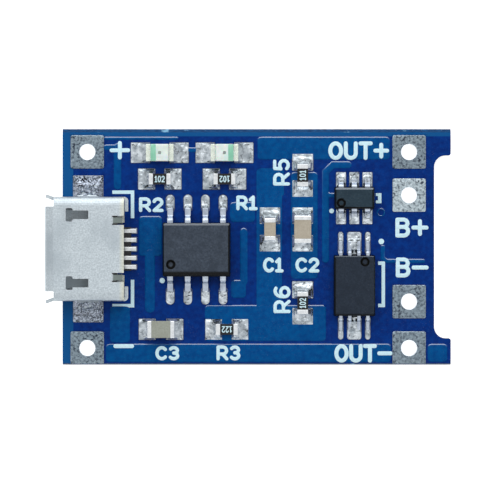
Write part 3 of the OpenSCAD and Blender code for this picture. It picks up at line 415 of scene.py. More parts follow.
@dataclass(frozen=True)
class PlatedSheet(Finish):
    """Plated steel with painted shade on its pressed tongues, darkest at their rims, and a warm tint along its rear
    edge.
    """

    # Painted shade on the tongues that slope down, darker still at their rims
    recess_shade: Colour = (118, 128, 126)
    rim: Colour = (30, 34, 36)
    recess_from: float = -10.75
    tongues: tuple[float, float] = (1.91, -2.21)
    tongue_half: float = 0.22
    tint: Colour = (206, 204, 176)
    tint_from: float = -9.9
    tint_to: float = -9.5

    def colour(self, shader: ShaderTree, place: Socket, grain: Socket) -> Socket:
        """The sheet's tones, the tint near the rear edge, and painted shade on the recess where the sheet slopes down.
        """
        sheet = super().colour(shader, place, grain)
        along = shader.add("ShaderNodeSeparateXYZ", {0: place}).outputs["X"]
        rear = shader.math("MULTIPLY", shader.spread(along, self.tint_from, self.tint_from + 0.3, 0.0, 0.5),
                           shader.spread(along, self.tint_to + 0.02, self.tint_to - 0.02))
        sheet = shader.mix(rear, sheet, linear(self.tint))
        normal = shader.add("ShaderNodeNewGeometry").outputs["Normal"]
        parts = shader.add("ShaderNodeSeparateXYZ", {0: normal})
        slope = shader.math("MULTIPLY", shader.spread(parts.outputs["X"], 0.12, 0.26),
                            shader.spread(parts.outputs["Z"], 0.8, 0.9))
        behind = shader.spread(along, self.recess_from, self.recess_from + 0.1)
        across = shader.add("ShaderNodeSeparateXYZ", {0: place}).outputs["Y"]
        inside = shader.math("ADD", *(
            shader.math("MULTIPLY", shader.spread(across, middle - self.tongue_half, middle - self.tongue_half + 0.05),
                        shader.spread(across, middle + self.tongue_half, middle + self.tongue_half - 0.05))
            for middle in self.tongues))
        # Painted shade over the tongues, darkest at their rims
        tongue_shade = shader.mix(inside, linear(self.rim), linear(self.recess_shade))
        return shader.mix(shader.math("MULTIPLY", slope, behind), sheet, tongue_shade)


@dataclass(frozen=True)
class CoatedCeramic(Finish):
    """A dark printed coat on the top of a white ceramic body."""

    ceramic: Colour = (226, 226, 220)
    coat_level: float = 1.64

    def colour(self, shader: ShaderTree, place: Socket, grain: Socket) -> Socket:
        """Coat above its level, ceramic below it."""
        height = shader.add("ShaderNodeSeparateXYZ", {0: place}).outputs["Z"]
        above = shader.spread(height, self.coat_level - 0.01, self.coat_level + 0.01)
        coat = shader.mix(grain, linear(self.deep), linear(self.tone))
        return shader.mix(above, linear(self.ceramic), coat)


FINISHES: dict[str, Finish] = {f.name: f for f in (
    MaskedLaminate("solder_mask", (0, 52, 130), (0, 38, 110), (0.3, 0.4), grains=3.0, relief=0.001, dust=0.1,
                   coat=0.03, shine=0.04),
    Finish("masked_copper", (0, 82, 145), (0, 67, 130), (0.3, 0.4), grains=3.0, relief=0.001, dust=0.1,
           coat=0.01, shine=0.02, slope_coat=1.0),
    Finish("white_print", (222, 246, 252), (188, 230, 244), (0.6, 0.75), grains=10.0, softness=0.9, relief=0.004),
    FleckedTin("tin_solder", (141, 156, 166), (101, 115, 126), (0.22, 0.42), 1.0, grains=7.0, softness=0.8,
               relief=0.012, dust=0.1, worn_and_highlight=(236, 246, 255), edge_wear_and_highlight=1.0, slope_highlight=0.8),
    FleckedTin("bright_tin", (189, 202, 208), (145, 160, 168), (0.22, 0.42), 1.0, grains=7.0, softness=0.8,
               relief=0.012, dust=0.1, worn_and_highlight=(236, 246, 255), edge_wear_and_highlight=1.0, slope_highlight=0.8),
    FleckedTin("speckled_solder", (176, 186, 200), (92, 100, 114), (0.24, 0.4), 1.0, grains=6.0, relief=0.008,
               dust=0.0, fleck=(14, 14, 20), flecks=8.5, patches=0.7, harder=0.03, worn_and_highlight=(236, 242, 255), slope_highlight=0.5),
    ShadedSolder("bright_solder", (232, 240, 246), (128, 138, 146), (0.12, 0.26), 1.0, grains=2.6, softness=0.8,
                  relief=0.006, dust=0.0, worn_and_highlight=(200, 208, 222), slope_highlight=0.6, clouds=1.8),
    PlatedSheet("plated_sheet", (200, 209, 214), (155, 165, 172), (0.42, 0.54), 1.0, grains=9.0, softness=0.8,
                relief=0.0015, worn_and_highlight=(244, 246, 246), edge_wear_and_highlight=0.7, clouds=0.35),
    Finish("black_housing", (34, 35, 38), (22, 23, 26), (0.5, 0.62), grains=14.0, relief=0.003),
    Finish("tinned_contact", (228, 231, 232), (180, 185, 186), (0.12, 0.26), 1.0, grains=4.0, softness=1.0),
    MouldedEpoxy("charger_epoxy", (69, 79, 93), (47, 56, 68), (0.46, 0.6), grains=7.0, softness=0.7, relief=0.008,
                 dust=0.15, shine=0.15, clouds=1.6),
    MouldedEpoxy("protector_epoxy", (46, 64, 76), (33, 50, 62), (0.46, 0.6), grains=7.0, softness=0.7, relief=0.008,
                 dust=0.1, shine=0.12, clouds=1.6, line=(150, 158, 166), highlight_from=3.9),
    MouldedEpoxy("switch_epoxy", (43, 53, 67), (30, 39, 51), (0.46, 0.6), grains=7.0, softness=0.7, relief=0.008,
                 dust=0.1, shine=0.12, clouds=1.6, line=(136, 146, 156), highlight_from=-0.8),
    Finish("tinned_lead", (196, 206, 218), (144, 154, 170), (0.1, 0.22), 1.0, grains=3.0, softness=1.0,
           relief=0.003),
    Finish("milky_resin", (234, 242, 238), (212, 230, 224), (0.12, 0.24), grains=2.0, relief=0.002, coat=0.6,
           see_through=0.3),
    Finish("lamp_plate", (214, 226, 212), (190, 208, 192), (0.45, 0.6), grains=6.0),
    Finish("lamp_plating", (236, 242, 232), (208, 218, 206), (0.2, 0.34), 0.6, grains=4.0, softness=1.0),
    Finish("green_stripe", (158, 218, 192), (126, 196, 166), (0.3, 0.45), grains=3.0, softness=1.0, clouds=2.0),
    Finish("lamp_die", (150, 160, 160), (120, 132, 130), (0.3, 0.45), 0.4, grains=6.0),
    Finish("tinned_end", (238, 241, 243), (200, 206, 210), (0.12, 0.26), 1.0, grains=4.0, softness=1.0,
           relief=0.004),
    CoatedCeramic("resistor_coat", (24, 26, 30), (14, 15, 18), (0.2, 0.34), grains=9.0, relief=0.002, shine=0.3),
    Finish("tan_ceramic", (182, 174, 158), (166, 157, 140), (0.4, 0.55), grains=9.0, relief=0.004,
           worn_and_highlight=(214, 206, 190), edge_wear_and_highlight=0.6, clouds=1.2),
    Finish("grey_ceramic", (156, 161, 151), (141, 145, 134), (0.4, 0.55), grains=9.0, relief=0.004,
           worn_and_highlight=(196, 200, 190), edge_wear_and_highlight=0.6, clouds=1.2),
)}


@dataclass(frozen=True)
class Dressing:
    """What the nodes with one ending in their name are dressed with.

    A node with a bevel is shown by a softened copy; the others keep their own mesh.
    """

    ending: str
    finish: str
    slot: str
    bevel: float = 0.0


# The first ending that a node's name has decides its dressing
DRESSINGS: tuple[Dressing, ...] = (
    Dressing("circuit_board", "solder_mask", "board"),
    Dressing("legend_marks", "white_print", "print"),
    Dressing("socket_shell", "plated_sheet", "shell", 0.04),
    Dressing("socket_insulator", "black_housing", "housing"),
    Dressing("socket_contacts", "tinned_contact", "contacts", 0.04),
    Dressing("battery_plus_terminal", "bright_tin", "solder"),
    Dressing("_terminal", "tin_solder", "solder"),
    Dressing("anchor_solder", "speckled_solder", "solder"),
    Dressing("_pads", "bright_solder", "solder"),
    Dressing("_solder", "bright_solder", "solder"),
    Dressing("_leads", "tinned_lead", "leads", 0.035),
    Dressing("_lens", "milky_resin", "lens", 0.07),
    Dressing("_base", "lamp_plate", "lamp_base"),
    Dressing("lamp_ends", "lamp_plating", "ends"),
    Dressing("_ends", "tinned_end", "ends", 0.02),
    Dressing("charger_body", "charger_epoxy", "chip", 0.1),
    Dressing("protector_body", "protector_epoxy", "chip", 0.09),
    Dressing("switch_body", "switch_epoxy", "chip", 0.09),
    *(Dressing(f"r{number}_body", "resistor_coat", "resistor") for number in (1, 2, 3, 5, 6)),
    Dressing("c3_body", "grey_ceramic", "capacitor", 0.02),
    *(Dressing(f"c{number}_body", "tan_ceramic", "capacitor", 0.02) for number in (1, 2)),
)


def dressing_of(node: str) -> Dressing:
    """The dressing of a CAD node: the first whose ending its name has."""
    return next(dressing for dressing in DRESSINGS if node.endswith(dressing.ending))


def modified(mesh: bpy.types.Mesh, steps: tuple[tuple[str, dict], ...]) -> bpy.types.Mesh:
    """Run a mesh through modifiers.

    Args:
        mesh: The mesh.
        steps: Type and settings of each modifier, in order.

    Returns:
        A new mesh with all of them applied.
    """
    helper = bpy.data.objects.new("modifier_helper", mesh)
    bpy.context.scene.collection.objects.link(helper)
    for kind, settings in steps:
        step = helper.modifiers.new(kind.lower(), kind)
        for name, value in settings.items():
            setattr(step, name, value)
    graph = bpy.context.evaluated_depsgraph_get()
    result = bpy.data.meshes.new_from_object(helper.evaluated_get(graph), preserve_all_data_layers=True,
                                             depsgraph=graph)
    bpy.data.objects.remove(helper)
    return result


def softened(node: str, bevel: float) -> bpy.types.Mesh:
    """Copy a CAD node's mesh with its corners merged and its edges bevelled.

    The copy is bevelled at a thousand times its size, so that the width isn't lost in rounding.

    Args:
        node: Name of the CAD node.
        bevel: Width of the bevels in millimetres.

    Returns:
        The new mesh, at its true size.
    """
    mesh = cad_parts[node].data.copy()
    mesh.transform(Matrix.Scale(1 / MM, 4))
    mesh.shade_smooth()
    mesh = modified(mesh, (
        ("WELD", {"merge_threshold": 0.002}),
        ("DECIMATE", {"decimate_type": "DISSOLVE", "angle_limit": np.radians(0.5)}),
        ("BEVEL", {"width": bevel, "segments": 2, "limit_method": "ANGLE", "angle_limit": np.radians(32),
                   "use_clamp_overlap": node == "socket_shell"}),
    ))
    mesh.set_sharp_from_angle(angle=np.radians(9))
    mesh = modified(mesh, (("WEIGHTED_NORMAL", {"mode": "FACE_AREA", "weight": 100, "keep_sharp": True}),))
    mesh.transform(Matrix.Scale(MM, 4))
    return mesh


def show(name: str, mesh: bpy.types.Mesh, material: bpy.types.Material,
         replaced: tuple[str, ...] = ()) -> bpy.types.Object:
    """Put a finished mesh into the visual model, at the origin and on the module's one body.

    Args:
        name: Name of the piece.
        mesh: Its mesh, in metres.
        material: Its finish.
        replaced: CAD nodes that it stands for.

    Returns:
        The new object.
    """
    mesh.materials.clear()
    mesh.materials.append(material)
    piece = bpy.data.objects.new(name, mesh)
    bpy.context.scene.collection.objects.link(piece)
    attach(piece, "root")
    if replaced:
        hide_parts(*replaced)
    log.info("made %s with %d points", name, len(mesh.vertices))
    return piece


def dress_nodes(materials: dict[str, bpy.types.Material]) -> None:
    """Give every carried-over node its finish, or a softened copy that stands for it.

    Args:
        materials: The built materials by finish name.
    """
    for name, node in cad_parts.items():
        dressing = dressing_of(name)
        node.data.materials.clear()
        node.data.materials.append(materials[dressing.finish])
        if dressing.bevel:
            show("soft_" + name, softened(name, dressing.bevel), materials[dressing.finish], (name,))
    log.info("dressed %d nodes", len(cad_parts))


def runs_along(low: np.ndarray, high: np.ndarray, gap: float = 0.02) -> np.ndarray:
    """Number the runs that intervals form along an axis; a new one starts past each gap in their cover."""
    order = np.argsort(low)
    reach = np.maximum.accumulate(high[order])
    label = np.zeros(len(low), int)
    label[order[1:]] = np.cumsum(low[order[1:]] > reach[:-1] + gap)
    return label


def solids(node: str, base_only: bool = False) -> list[tuple[np.ndarray, np.ndarray]]:
    """Boxes of a node's separate solids, told apart by the gaps between them along X and Y.

    Args:
        node: Name of the CAD node.
        base_only: Take only the lowest face of each solid.

    Returns:
        Lowest and highest corner of each solid, in millimetres.
    """
    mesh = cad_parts[node].data
    points, corner = np.empty(3 * len(mesh.vertices)), np.empty(len(mesh.loops), int)
    mesh.vertices.foreach_get("co", points)
    mesh.loops.foreach_get("vertex_index", corner)
    triangles = points.reshape(-1, 3)[corner].reshape(-1, 3, 3) / MM
    low, high = triangles.min(1), triangles.max(1)
    label = 1000 * runs_along(low[:, 0], high[:, 0]) + runs_along(low[:, 1], high[:, 1])
    boxes = []
    for number in np.unique(label):
        own = triangles[label == number].reshape(-1, 3)
        if base_only:
            own = own[own[:, 2] < own[:, 2].min() + 0.02]
        boxes.append((own.min(0), own.max(0)))
    return boxes


@dataclass
class Shape:
    """Points in millimetres and the faces between them."""

    points: np.ndarray
    faces: list[list[int]]

    def joined(self, other: "Shape") -> "Shape":
        """Both shapes in one, with the other's faces renumbered."""
        start = len(self.points)
        moved = [[start + corner for corner in face] for face in other.faces]
        return Shape(np.vstack([self.points, other.points]), self.faces + moved)


def round_corners(corners: np.ndarray, radius: float, steps: int = 5) -> np.ndarray:
    """Turn each corner of an outline into an arc.

    The arc's hub lies on the corner's bisector at radius over the sine of half the corner's angle,
    and the arc runs between its two touching points by spherical interpolation.

    Args:
        corners: Corners of a closed outline.
        radius: Radius of every corner.
        steps: Points on each arc.

    Returns:
        The rounded outline.
    """
    back, ahead = np.roll(corners, 1, 0) - corners, np.roll(corners, -1, 0) - corners
    reach = np.minimum(np.linalg.norm(back, axis=1), np.linalg.norm(ahead, axis=1))
    back = back / np.linalg.norm(back, axis=1)[:, None]
    ahead = ahead / np.linalg.norm(ahead, axis=1)[:, None]
    half = np.arccos(np.clip((back * ahead).sum(1), -1, 1)) / 2
    radii = np.minimum(radius, 0.45 * reach * np.tan(half))
    middle = (back + ahead) / np.linalg.norm(back + ahead, axis=1)[:, None]
    hub = corners + middle * (radii / np.sin(half))[:, None]
    first = corners + back * (radii / np.tan(half))[:, None] - hub
    second = corners + ahead * (radii / np.tan(half))[:, None] - hub
    sweep = (np.pi - 2 * half)[:, None, None]
    along = np.linspace(0, 1, steps)[None, :, None]
    turned = (np.sin((1 - along) * sweep) * first[:, None] + np.sin(along * sweep) * second[:, None]) / np.sin(sweep)
    return (hub[:, None] + turned).reshape(-1, 2)


def shrink(outline: np.ndarray, by: float) -> np.ndarray:
    """Move an anticlockwise outline inwards by an even distance, along its mitred normals."""
    ahead = np.roll(outline, -1, 0) - outline
    ahead = ahead / np.linalg.norm(ahead, axis=1)[:, None]
    normal = np.stack([-ahead[:, 1], ahead[:, 0]], 1)
    before = np.roll(normal, 1, 0)
    return outline + by * (before + normal) / (1 + (before * normal).sum(1))[:, None]


def stroke_outline(path: np.ndarray, width: float) -> np.ndarray:
    """Outline of a line with round ends.

    Each point moves half the width along its mitred normal, to the right on the way out and to the
    left on the way back, and half circles close the two ends.

    Args:
        path: Points of the line.
        width: Width of the line.

    Returns:
        The anticlockwise outline.
    """
    run = np.diff(path, axis=0)
    run = run / np.linalg.norm(run, axis=1)[:, None]
    normal = np.stack([-run[:, 1], run[:, 0]], 1)
    before, after = np.vstack([normal[:1], normal]), np.vstack([normal, normal[-1:]])
    mitre = (before + after) / np.maximum(1 + (before * after).sum(1), 0.4)[:, None] * width / 2
    turn = np.linspace(0, np.pi, 9)[1:-1, None]
    far = path[-1] - np.cos(turn) * normal[-1] * width / 2 + np.sin(turn) * run[-1] * width / 2
    near = path[0] + np.cos(turn) * normal[0] * width / 2 - np.sin(turn) * run[0] * width / 2
    return np.vstack([path - mitre, far, (path + mitre)[::-1], near])


def plate(outline: np.ndarray, profile: tuple[tuple[float, float], ...]) -> Shape:
    """Carry an edge profile round an outline and close it above and below.

    Ring k is the outline moved inwards by the profile's first number, at the height of its second.

    Args:
        outline: Anticlockwise outline.
        profile: Inward distance and height of each ring, from the bottom up.

    Returns:
        The closed plate.
    """
    count = len(outline)
    rings = [np.column_stack([shrink(outline, by), np.full(count, height)]) for by, height in profile]
    corner = np.arange(count)
    after = (corner + 1) % count
    faces = [np.column_stack([k * count + corner, k * count + after, (k + 1) * count + after,
                              (k + 1) * count + corner]) for k in range(len(rings) - 1)]
    caps = [corner[::-1].tolist(), ((len(rings) - 1) * count + corner).tolist()]
    return Shape(np.vstack(rings), np.vstack(faces).tolist() + caps)


def add_piece(name: str, shapes: list[Shape], material: bpy.types.Material,
              replaced: tuple[str, ...] = ()) -> bpy.types.Object:
    """Make one piece of the visual model.

    Args:
        name: Name of the piece.
        shapes: Shapes that it is made of.
        material: Its finish.
        replaced: CAD nodes that it stands for.

    Returns:
        The new object, at the origin, riding on the module's one body.
    """
    whole = shapes[0]
    for shape in shapes[1:]:
        whole = whole.joined(shape)
    mesh = bpy.data.meshes.new(name)
    mesh.from_pydata((whole.points * MM).tolist(), [], whole.faces)
    mesh.shade_smooth()
    mesh.set_sharp_from_angle(angle=np.radians(35))
    return show(name, mesh, material, replaced)


def stacked(outlines: list[np.ndarray], profile: tuple[tuple[float, float], ...], step: float) -> list[Shape]:
    """Make a plate of each outline, each one a step higher than the last, so that no tops share a plane.

    Args:
        outlines: Anticlockwise outlines.
        profile: Inward distance and height of each ring, from the bottom up.
        step: Rise from one plate to the next.

    Returns:
        The plates.
    """
    return [plate(outline, tuple((by, height + step * order) for by, height in profile))
            for order, outline in enumerate(outlines)]


def rectangle(left: float, right: float, low: float, high: float) -> np.ndarray:
    """Corners of an upright rectangle, anticlockwise."""
    return np.array([(left, low), (right, low), (right, high), (left, high)], float)


@dataclass
class CopperRelief:
    """Copper areas and tracks that stand up a little under the mask."""

    rise: float = 0.04
    shoulder: float = 0.07
    corner: float = 0.25
    level_step: float = 0.0004

    def areas(self) -> dict[str, np.ndarray]:
        """Corners of each copper area by name, in millimetres."""
        return {
            "copper_upper_pour": np.array([(0.06, 5.6), (1.9, 5.6), (1.9, 3.8), (1.76, 3.7), (1.76, -4.6),
                                           (0.06, -4.6)]),
            "copper_top_pour": rectangle(0.06, 9.6, 6.3, 7.94),
            "copper_middle_pour": rectangle(2.48, 4.4, -2.3, 5.4),
            "copper_bottom_pour": rectangle(-10.87, 9.69, -8.32, -6.99),
            "copper_lower_pour": rectangle(-3.73, 5.0, -6.8, -4.2),
            "copper_input_pour": rectangle(-10.58, -9.14, -6.9, -4.26),
            "copper_left_block": rectangle(-8.49, -6.83, -0.66, 2.22),
            "copper_right_block": rectangle(-1.92, -0.12, 1.79, 3.23),
            "copper_end_block": rectangle(-1.85, -0.77, -3.68, -2.39),
            "copper_output_strip": rectangle(12.34, 13.75, -8.3, -7.0),
        }

    def tracks(self) -> dict[str, tuple[tuple[tuple[float, float], ...], float]]:
        """Line and width of each track by name, in millimetres."""
        return {
            "track_top": (((-10.9, 7.83), (-5.75, 7.83)), 0.22),
            "track_plus": (((-10.04, 7.2), (-10.04, 4.4)), 0.54),
            "track_left": (((-7.7, -0.5), (-7.7, -4.4)), 0.72),
            "track_right": (((-0.93, 1.1), (-0.93, -2.5)), 0.54),
            "track_sense": (((6.6, 5.92), (5.5, 5.92), (4.97, 5.4), (4.97, -0.9)), 0.5),
            "track_join": (((4.97, 3.9), (5.25, 3.72), (5.6, 3.72)), 0.34),
            "track_lamps": (((-5.2, 7.0), (-4.2, 7.0)), 0.34),
            "track_input": (((-10.85, 7.18), (-10.3, 7.18)), 0.4),
            "via_far": (tuple(map(tuple, arc((8.96, 2.48), (0.26, 0.26), 0, 180))), 0.1),
            "via_near": (tuple(map(tuple, arc((8.96, 2.48), (0.26, 0.26), 180, 360))), 0.1),
            "track_drain": (((9.1, 0.0), (9.1, -0.8), (9.4, -1.02), (12.0, -1.02)), 0.3),
        }

    def build(self, material: bpy.types.Material) -> None:
        """Make one piece of all areas and tracks."""
        profile = ((0.0, BOARD_TOP - 0.02), (0.0, BOARD_TOP), (self.shoulder * 0.7, BOARD_TOP + self.rise * 0.9),
                   (self.shoulder, BOARD_TOP + self.rise))
        outlines = [round_corners(corners, self.corner) for corners in self.areas().values()]
        outlines += [stroke_outline(np.array(line, float), width) for line, width in self.tracks().values()]
        add_piece("copper_relief", stacked(outlines, profile, self.level_step), material)


def arc(middle: tuple[float, float], radii: tuple[float, float], start: float, end: float, steps: int = 9) -> list:
    """Points on an ellipse's arc between two angles in degrees."""
    angle = np.radians(np.linspace(start, end, steps))
    return np.column_stack([middle[0] + radii[0] * np.cos(angle), middle[1] + radii[1] * np.sin(angle)]).tolist()


# Strokes of each letter in a box one high, with its width
LETTERS: dict[str, tuple[float, list[list]]] = {
    "O": (0.74, [arc((0.37, 0.5), (0.37, 0.5), 90, 270, 13), arc((0.37, 0.5), (0.37, 0.5), 270, 450, 13)]),
    "U": (0.68, [[[0, 1]] + arc((0.34, 0.32), (0.34, 0.32), 180, 360, 11) + [[0.68, 1]]]),
    "T": (0.7, [[[0, 1], [0.7, 1]], [[0.35, 1], [0.35, 0]]]),
    "B": (0.66, [[[0, 0], [0, 1]], [[0, 1], [0.38, 1]] + arc((0.38, 0.77), (0.24, 0.23), 80, -90, 7) + [[0, 0.54]],
                 [[0, 0.54], [0.38, 0.54]] + arc((0.4, 0.27), (0.26, 0.27), 85, -90, 7) + [[0, 0]]]),
    "R": (0.66, [[[0, 0], [0, 1]], [[0, 1], [0.36, 1]] + arc((0.36, 0.7), (0.28, 0.3), 80, -90, 7) + [[0, 0.4]],
                 [[0.34, 0.4], [0.66, 0]]]),
    "C": (0.68, [arc((0.37, 0.5), (0.37, 0.5), 42, 318, 17)]),
    "0": (0.58, [arc((0.29, 0.5), (0.29, 0.5), 90, 270, 11), arc((0.29, 0.5), (0.29, 0.5), 270, 450, 11)]),
    "1": (0.44, [[[0, 0.78], [0.22, 1]], [[0.22, 1], [0.22, 0]], [[0, 0], [0.44, 0]]]),
    "2": (0.6, [arc((0.3, 0.7), (0.29, 0.3), 165, -25, 9) + [[0.02, 0]], [[0.02, 0], [0.6, 0]]]),
    "3": (0.6, [arc((0.29, 0.75), (0.28, 0.25), 150, -90, 9), arc((0.29, 0.26), (0.3, 0.26), 90, -150, 9)]),
    "5": (0.6, [[[0.54, 1], [0.06, 1]], [[0.06, 1], [0.03, 0.54]],
                [[0.03, 0.54]] + arc((0.28, 0.32), (0.31, 0.32), 110, -140, 9)]),
    "6": (0.6, [arc((0.38, 0.5), (0.38, 0.5), 62, 180, 7) + [[0, 0.3]], arc((0.3, 0.3), (0.3, 0.3), 0, 180),
                arc((0.3, 0.3), (0.3, 0.3), 180, 360)]),
    "+": (0.8, [[[0, 0.5], [0.8, 0.5]], [[0.4, 0.9], [0.4, 0.1]]]),
    "-": (0.8, [[[0, 0.5], [0.8, 0.5]]]),
}


@dataclass
class Label:
    """One word of the print: its text, middle, letter height, stretch along the line and turn."""

    name: str
    text: str
    middle: tuple[float, float]
    height: float
    length: float
    turn: float = 0.0
    line: float = 0.24

    def strokes(self) -> list[np.ndarray]:
        """Lines of all letters, spaced evenly, stretched to the length and turned about the middle."""
        gap, start, lines = 0.32, 0.0, []
        for letter in self.text:
            width, paths = LETTERS[letter]
            lines += [np.array(path, float) + (start, 0) for path in paths]
            start += width + gap
        stretch = np.array([self.length / (start - gap), self.height])
        angle = np.radians(self.turn)
        spin = np.array([[np.cos(angle), np.sin(angle)], [-np.sin(angle), np.cos(angle)]])
        centre = np.array([(start - gap) / 2, 0.5])
        return [((line - centre) * stretch) @ spin + self.middle for line in lines]


@dataclass
class PrintedLabels:
    """Raised white print: terminal signs and part numbers of the places on the board."""

    wide_line: float = 0.29
    thick: float = 0.022
    level_step: float = 0.001

    def labels(self) -> list[Label]:
        """Every word on the board; lengths and heights run between stroke middles."""
        return [
            Label("sign_in_plus", "+", (-9.87, 6.97), 1.3, 1.2, line=self.wide_line),
            Label("sign_in_minus", "-", (-9.59, -7.16), 1.3, 1.2, line=self.wide_line),
            Label("word_out_plus", "OUT+", (7.36, 6.94), 1.05, 4.1, line=self.wide_line),
            Label("word_out_minus", "OUT-", (7.7, -7.68), 1.05, 3.9, line=self.wide_line),
            Label("word_battery_plus", "B+", (11.2, 1.39), 1.15, 2.1, line=self.wide_line),
            Label("word_battery_minus", "B-", (11.22, -1.49), 1.15, 2.08, line=self.wide_line),
            Label("mark_r2", "R2", (-7.6, 3.04), 0.83, 1.54),
            Label("mark_r1", "R1", (-0.7, 3.17), 0.83, 1.3),
            Label("mark_c1", "C1", (1.2, -1.31), 0.85, 1.25),
            Label("mark_c2", "C2", (3.66, -1.31), 0.85, 1.5),
            Label("mark_r5", "R5", (1.79, 5.39), 0.98, 1.7, 90),
            Label("mark_r6", "R6", (1.83, -3.8), 1.0, 1.72, 90),
            Label("mark_c3", "C3", (-6.44, -7.67), 0.8, 1.5),
            Label("mark_r3", "R3", (-2.03, -7.65), 0.85, 1.5),
        ]

    def build(self, material: bpy.types.Material) -> None:
        """Make one piece of each word."""
        profile = ((0.0, BOARD_TOP - 0.01), (0.0, BOARD_TOP + self.thick * 1.9), (0.02, BOARD_TOP + self.thick * 2.2))
        for label in self.labels():
            outlines = [stroke_outline(line, label.line) for line in label.strokes()]
            add_piece(label.name, stacked(outlines, profile, self.level_step), material)


@dataclass
class ResistorCodes:
    """Plain value codes printed on the resistors' coats."""

    line: float = 0.07
    height: float = 0.4
    length: float = 0.66
    thick: float = 0.008

    def build(self, material: bpy.types.Material) -> None:
        """Print each code on the top of its resistor."""
        for node, text, turn in (("r1_body", "102", 180), ("r2_body", "102", 0), ("r3_body", "122", 180),
                                 ("r5_body", "101", 90), ("r6_body", "102", 90)):
            low, high = (np.array(corner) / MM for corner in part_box(node))
            middle = (low + high) / 2
            label = Label(node, text, (middle[0], middle[1]), self.height, self.length, turn)
            profile = ((0.0, high[2] - 0.003), (0.0, high[2] + self.thick))
            outlines = [stroke_outline(line, self.line) for line in label.strokes()]
            add_piece(f"code_{node[:2]}", stacked(outlines, profile, 0.0003), material)


@dataclass
class LampDetails:
    """Green polarity stripe and the small die seen through each lamp's lens."""

    stripe: float = 0.38
    stripe_inset: float = 0.08
    die: float = 0.22
    lift: float = 0.004

    def build(self, stripe: bpy.types.Material, die: bpy.types.Material) -> None:
        """Lay the stripe and the die just over each lens."""
        for side, sign in (("left", -1), ("right", 1)):
            low, high = (np.array(corner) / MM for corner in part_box(f"{side}_lamp_lens"))
            middle = (low + high) / 2
            edge = middle[0] + sign * ((high[0] - low[0]) / 2 - self.stripe_inset - self.stripe / 2)
            profile = ((0.0, high[2] - 0.004), (0.0, high[2]), (0.01, high[2] + self.lift))
            across = (high[1] - low[1]) / 2 - 0.03
            band = rectangle(edge - self.stripe / 2, edge + self.stripe / 2, middle[1] - across, middle[1] + across)
            add_piece(f"stripe_{side}_lamp", [plate(round_corners(band, 0.05), profile)], stripe)
            spot = rectangle(middle[0] - self.die / 2, middle[0] + self.die / 2,
                             middle[1] - self.die / 2, middle[1] + self.die / 2)
            add_piece(f"die_{side}_lamp", [plate(round_corners(spot, 0.06), profile)], die)


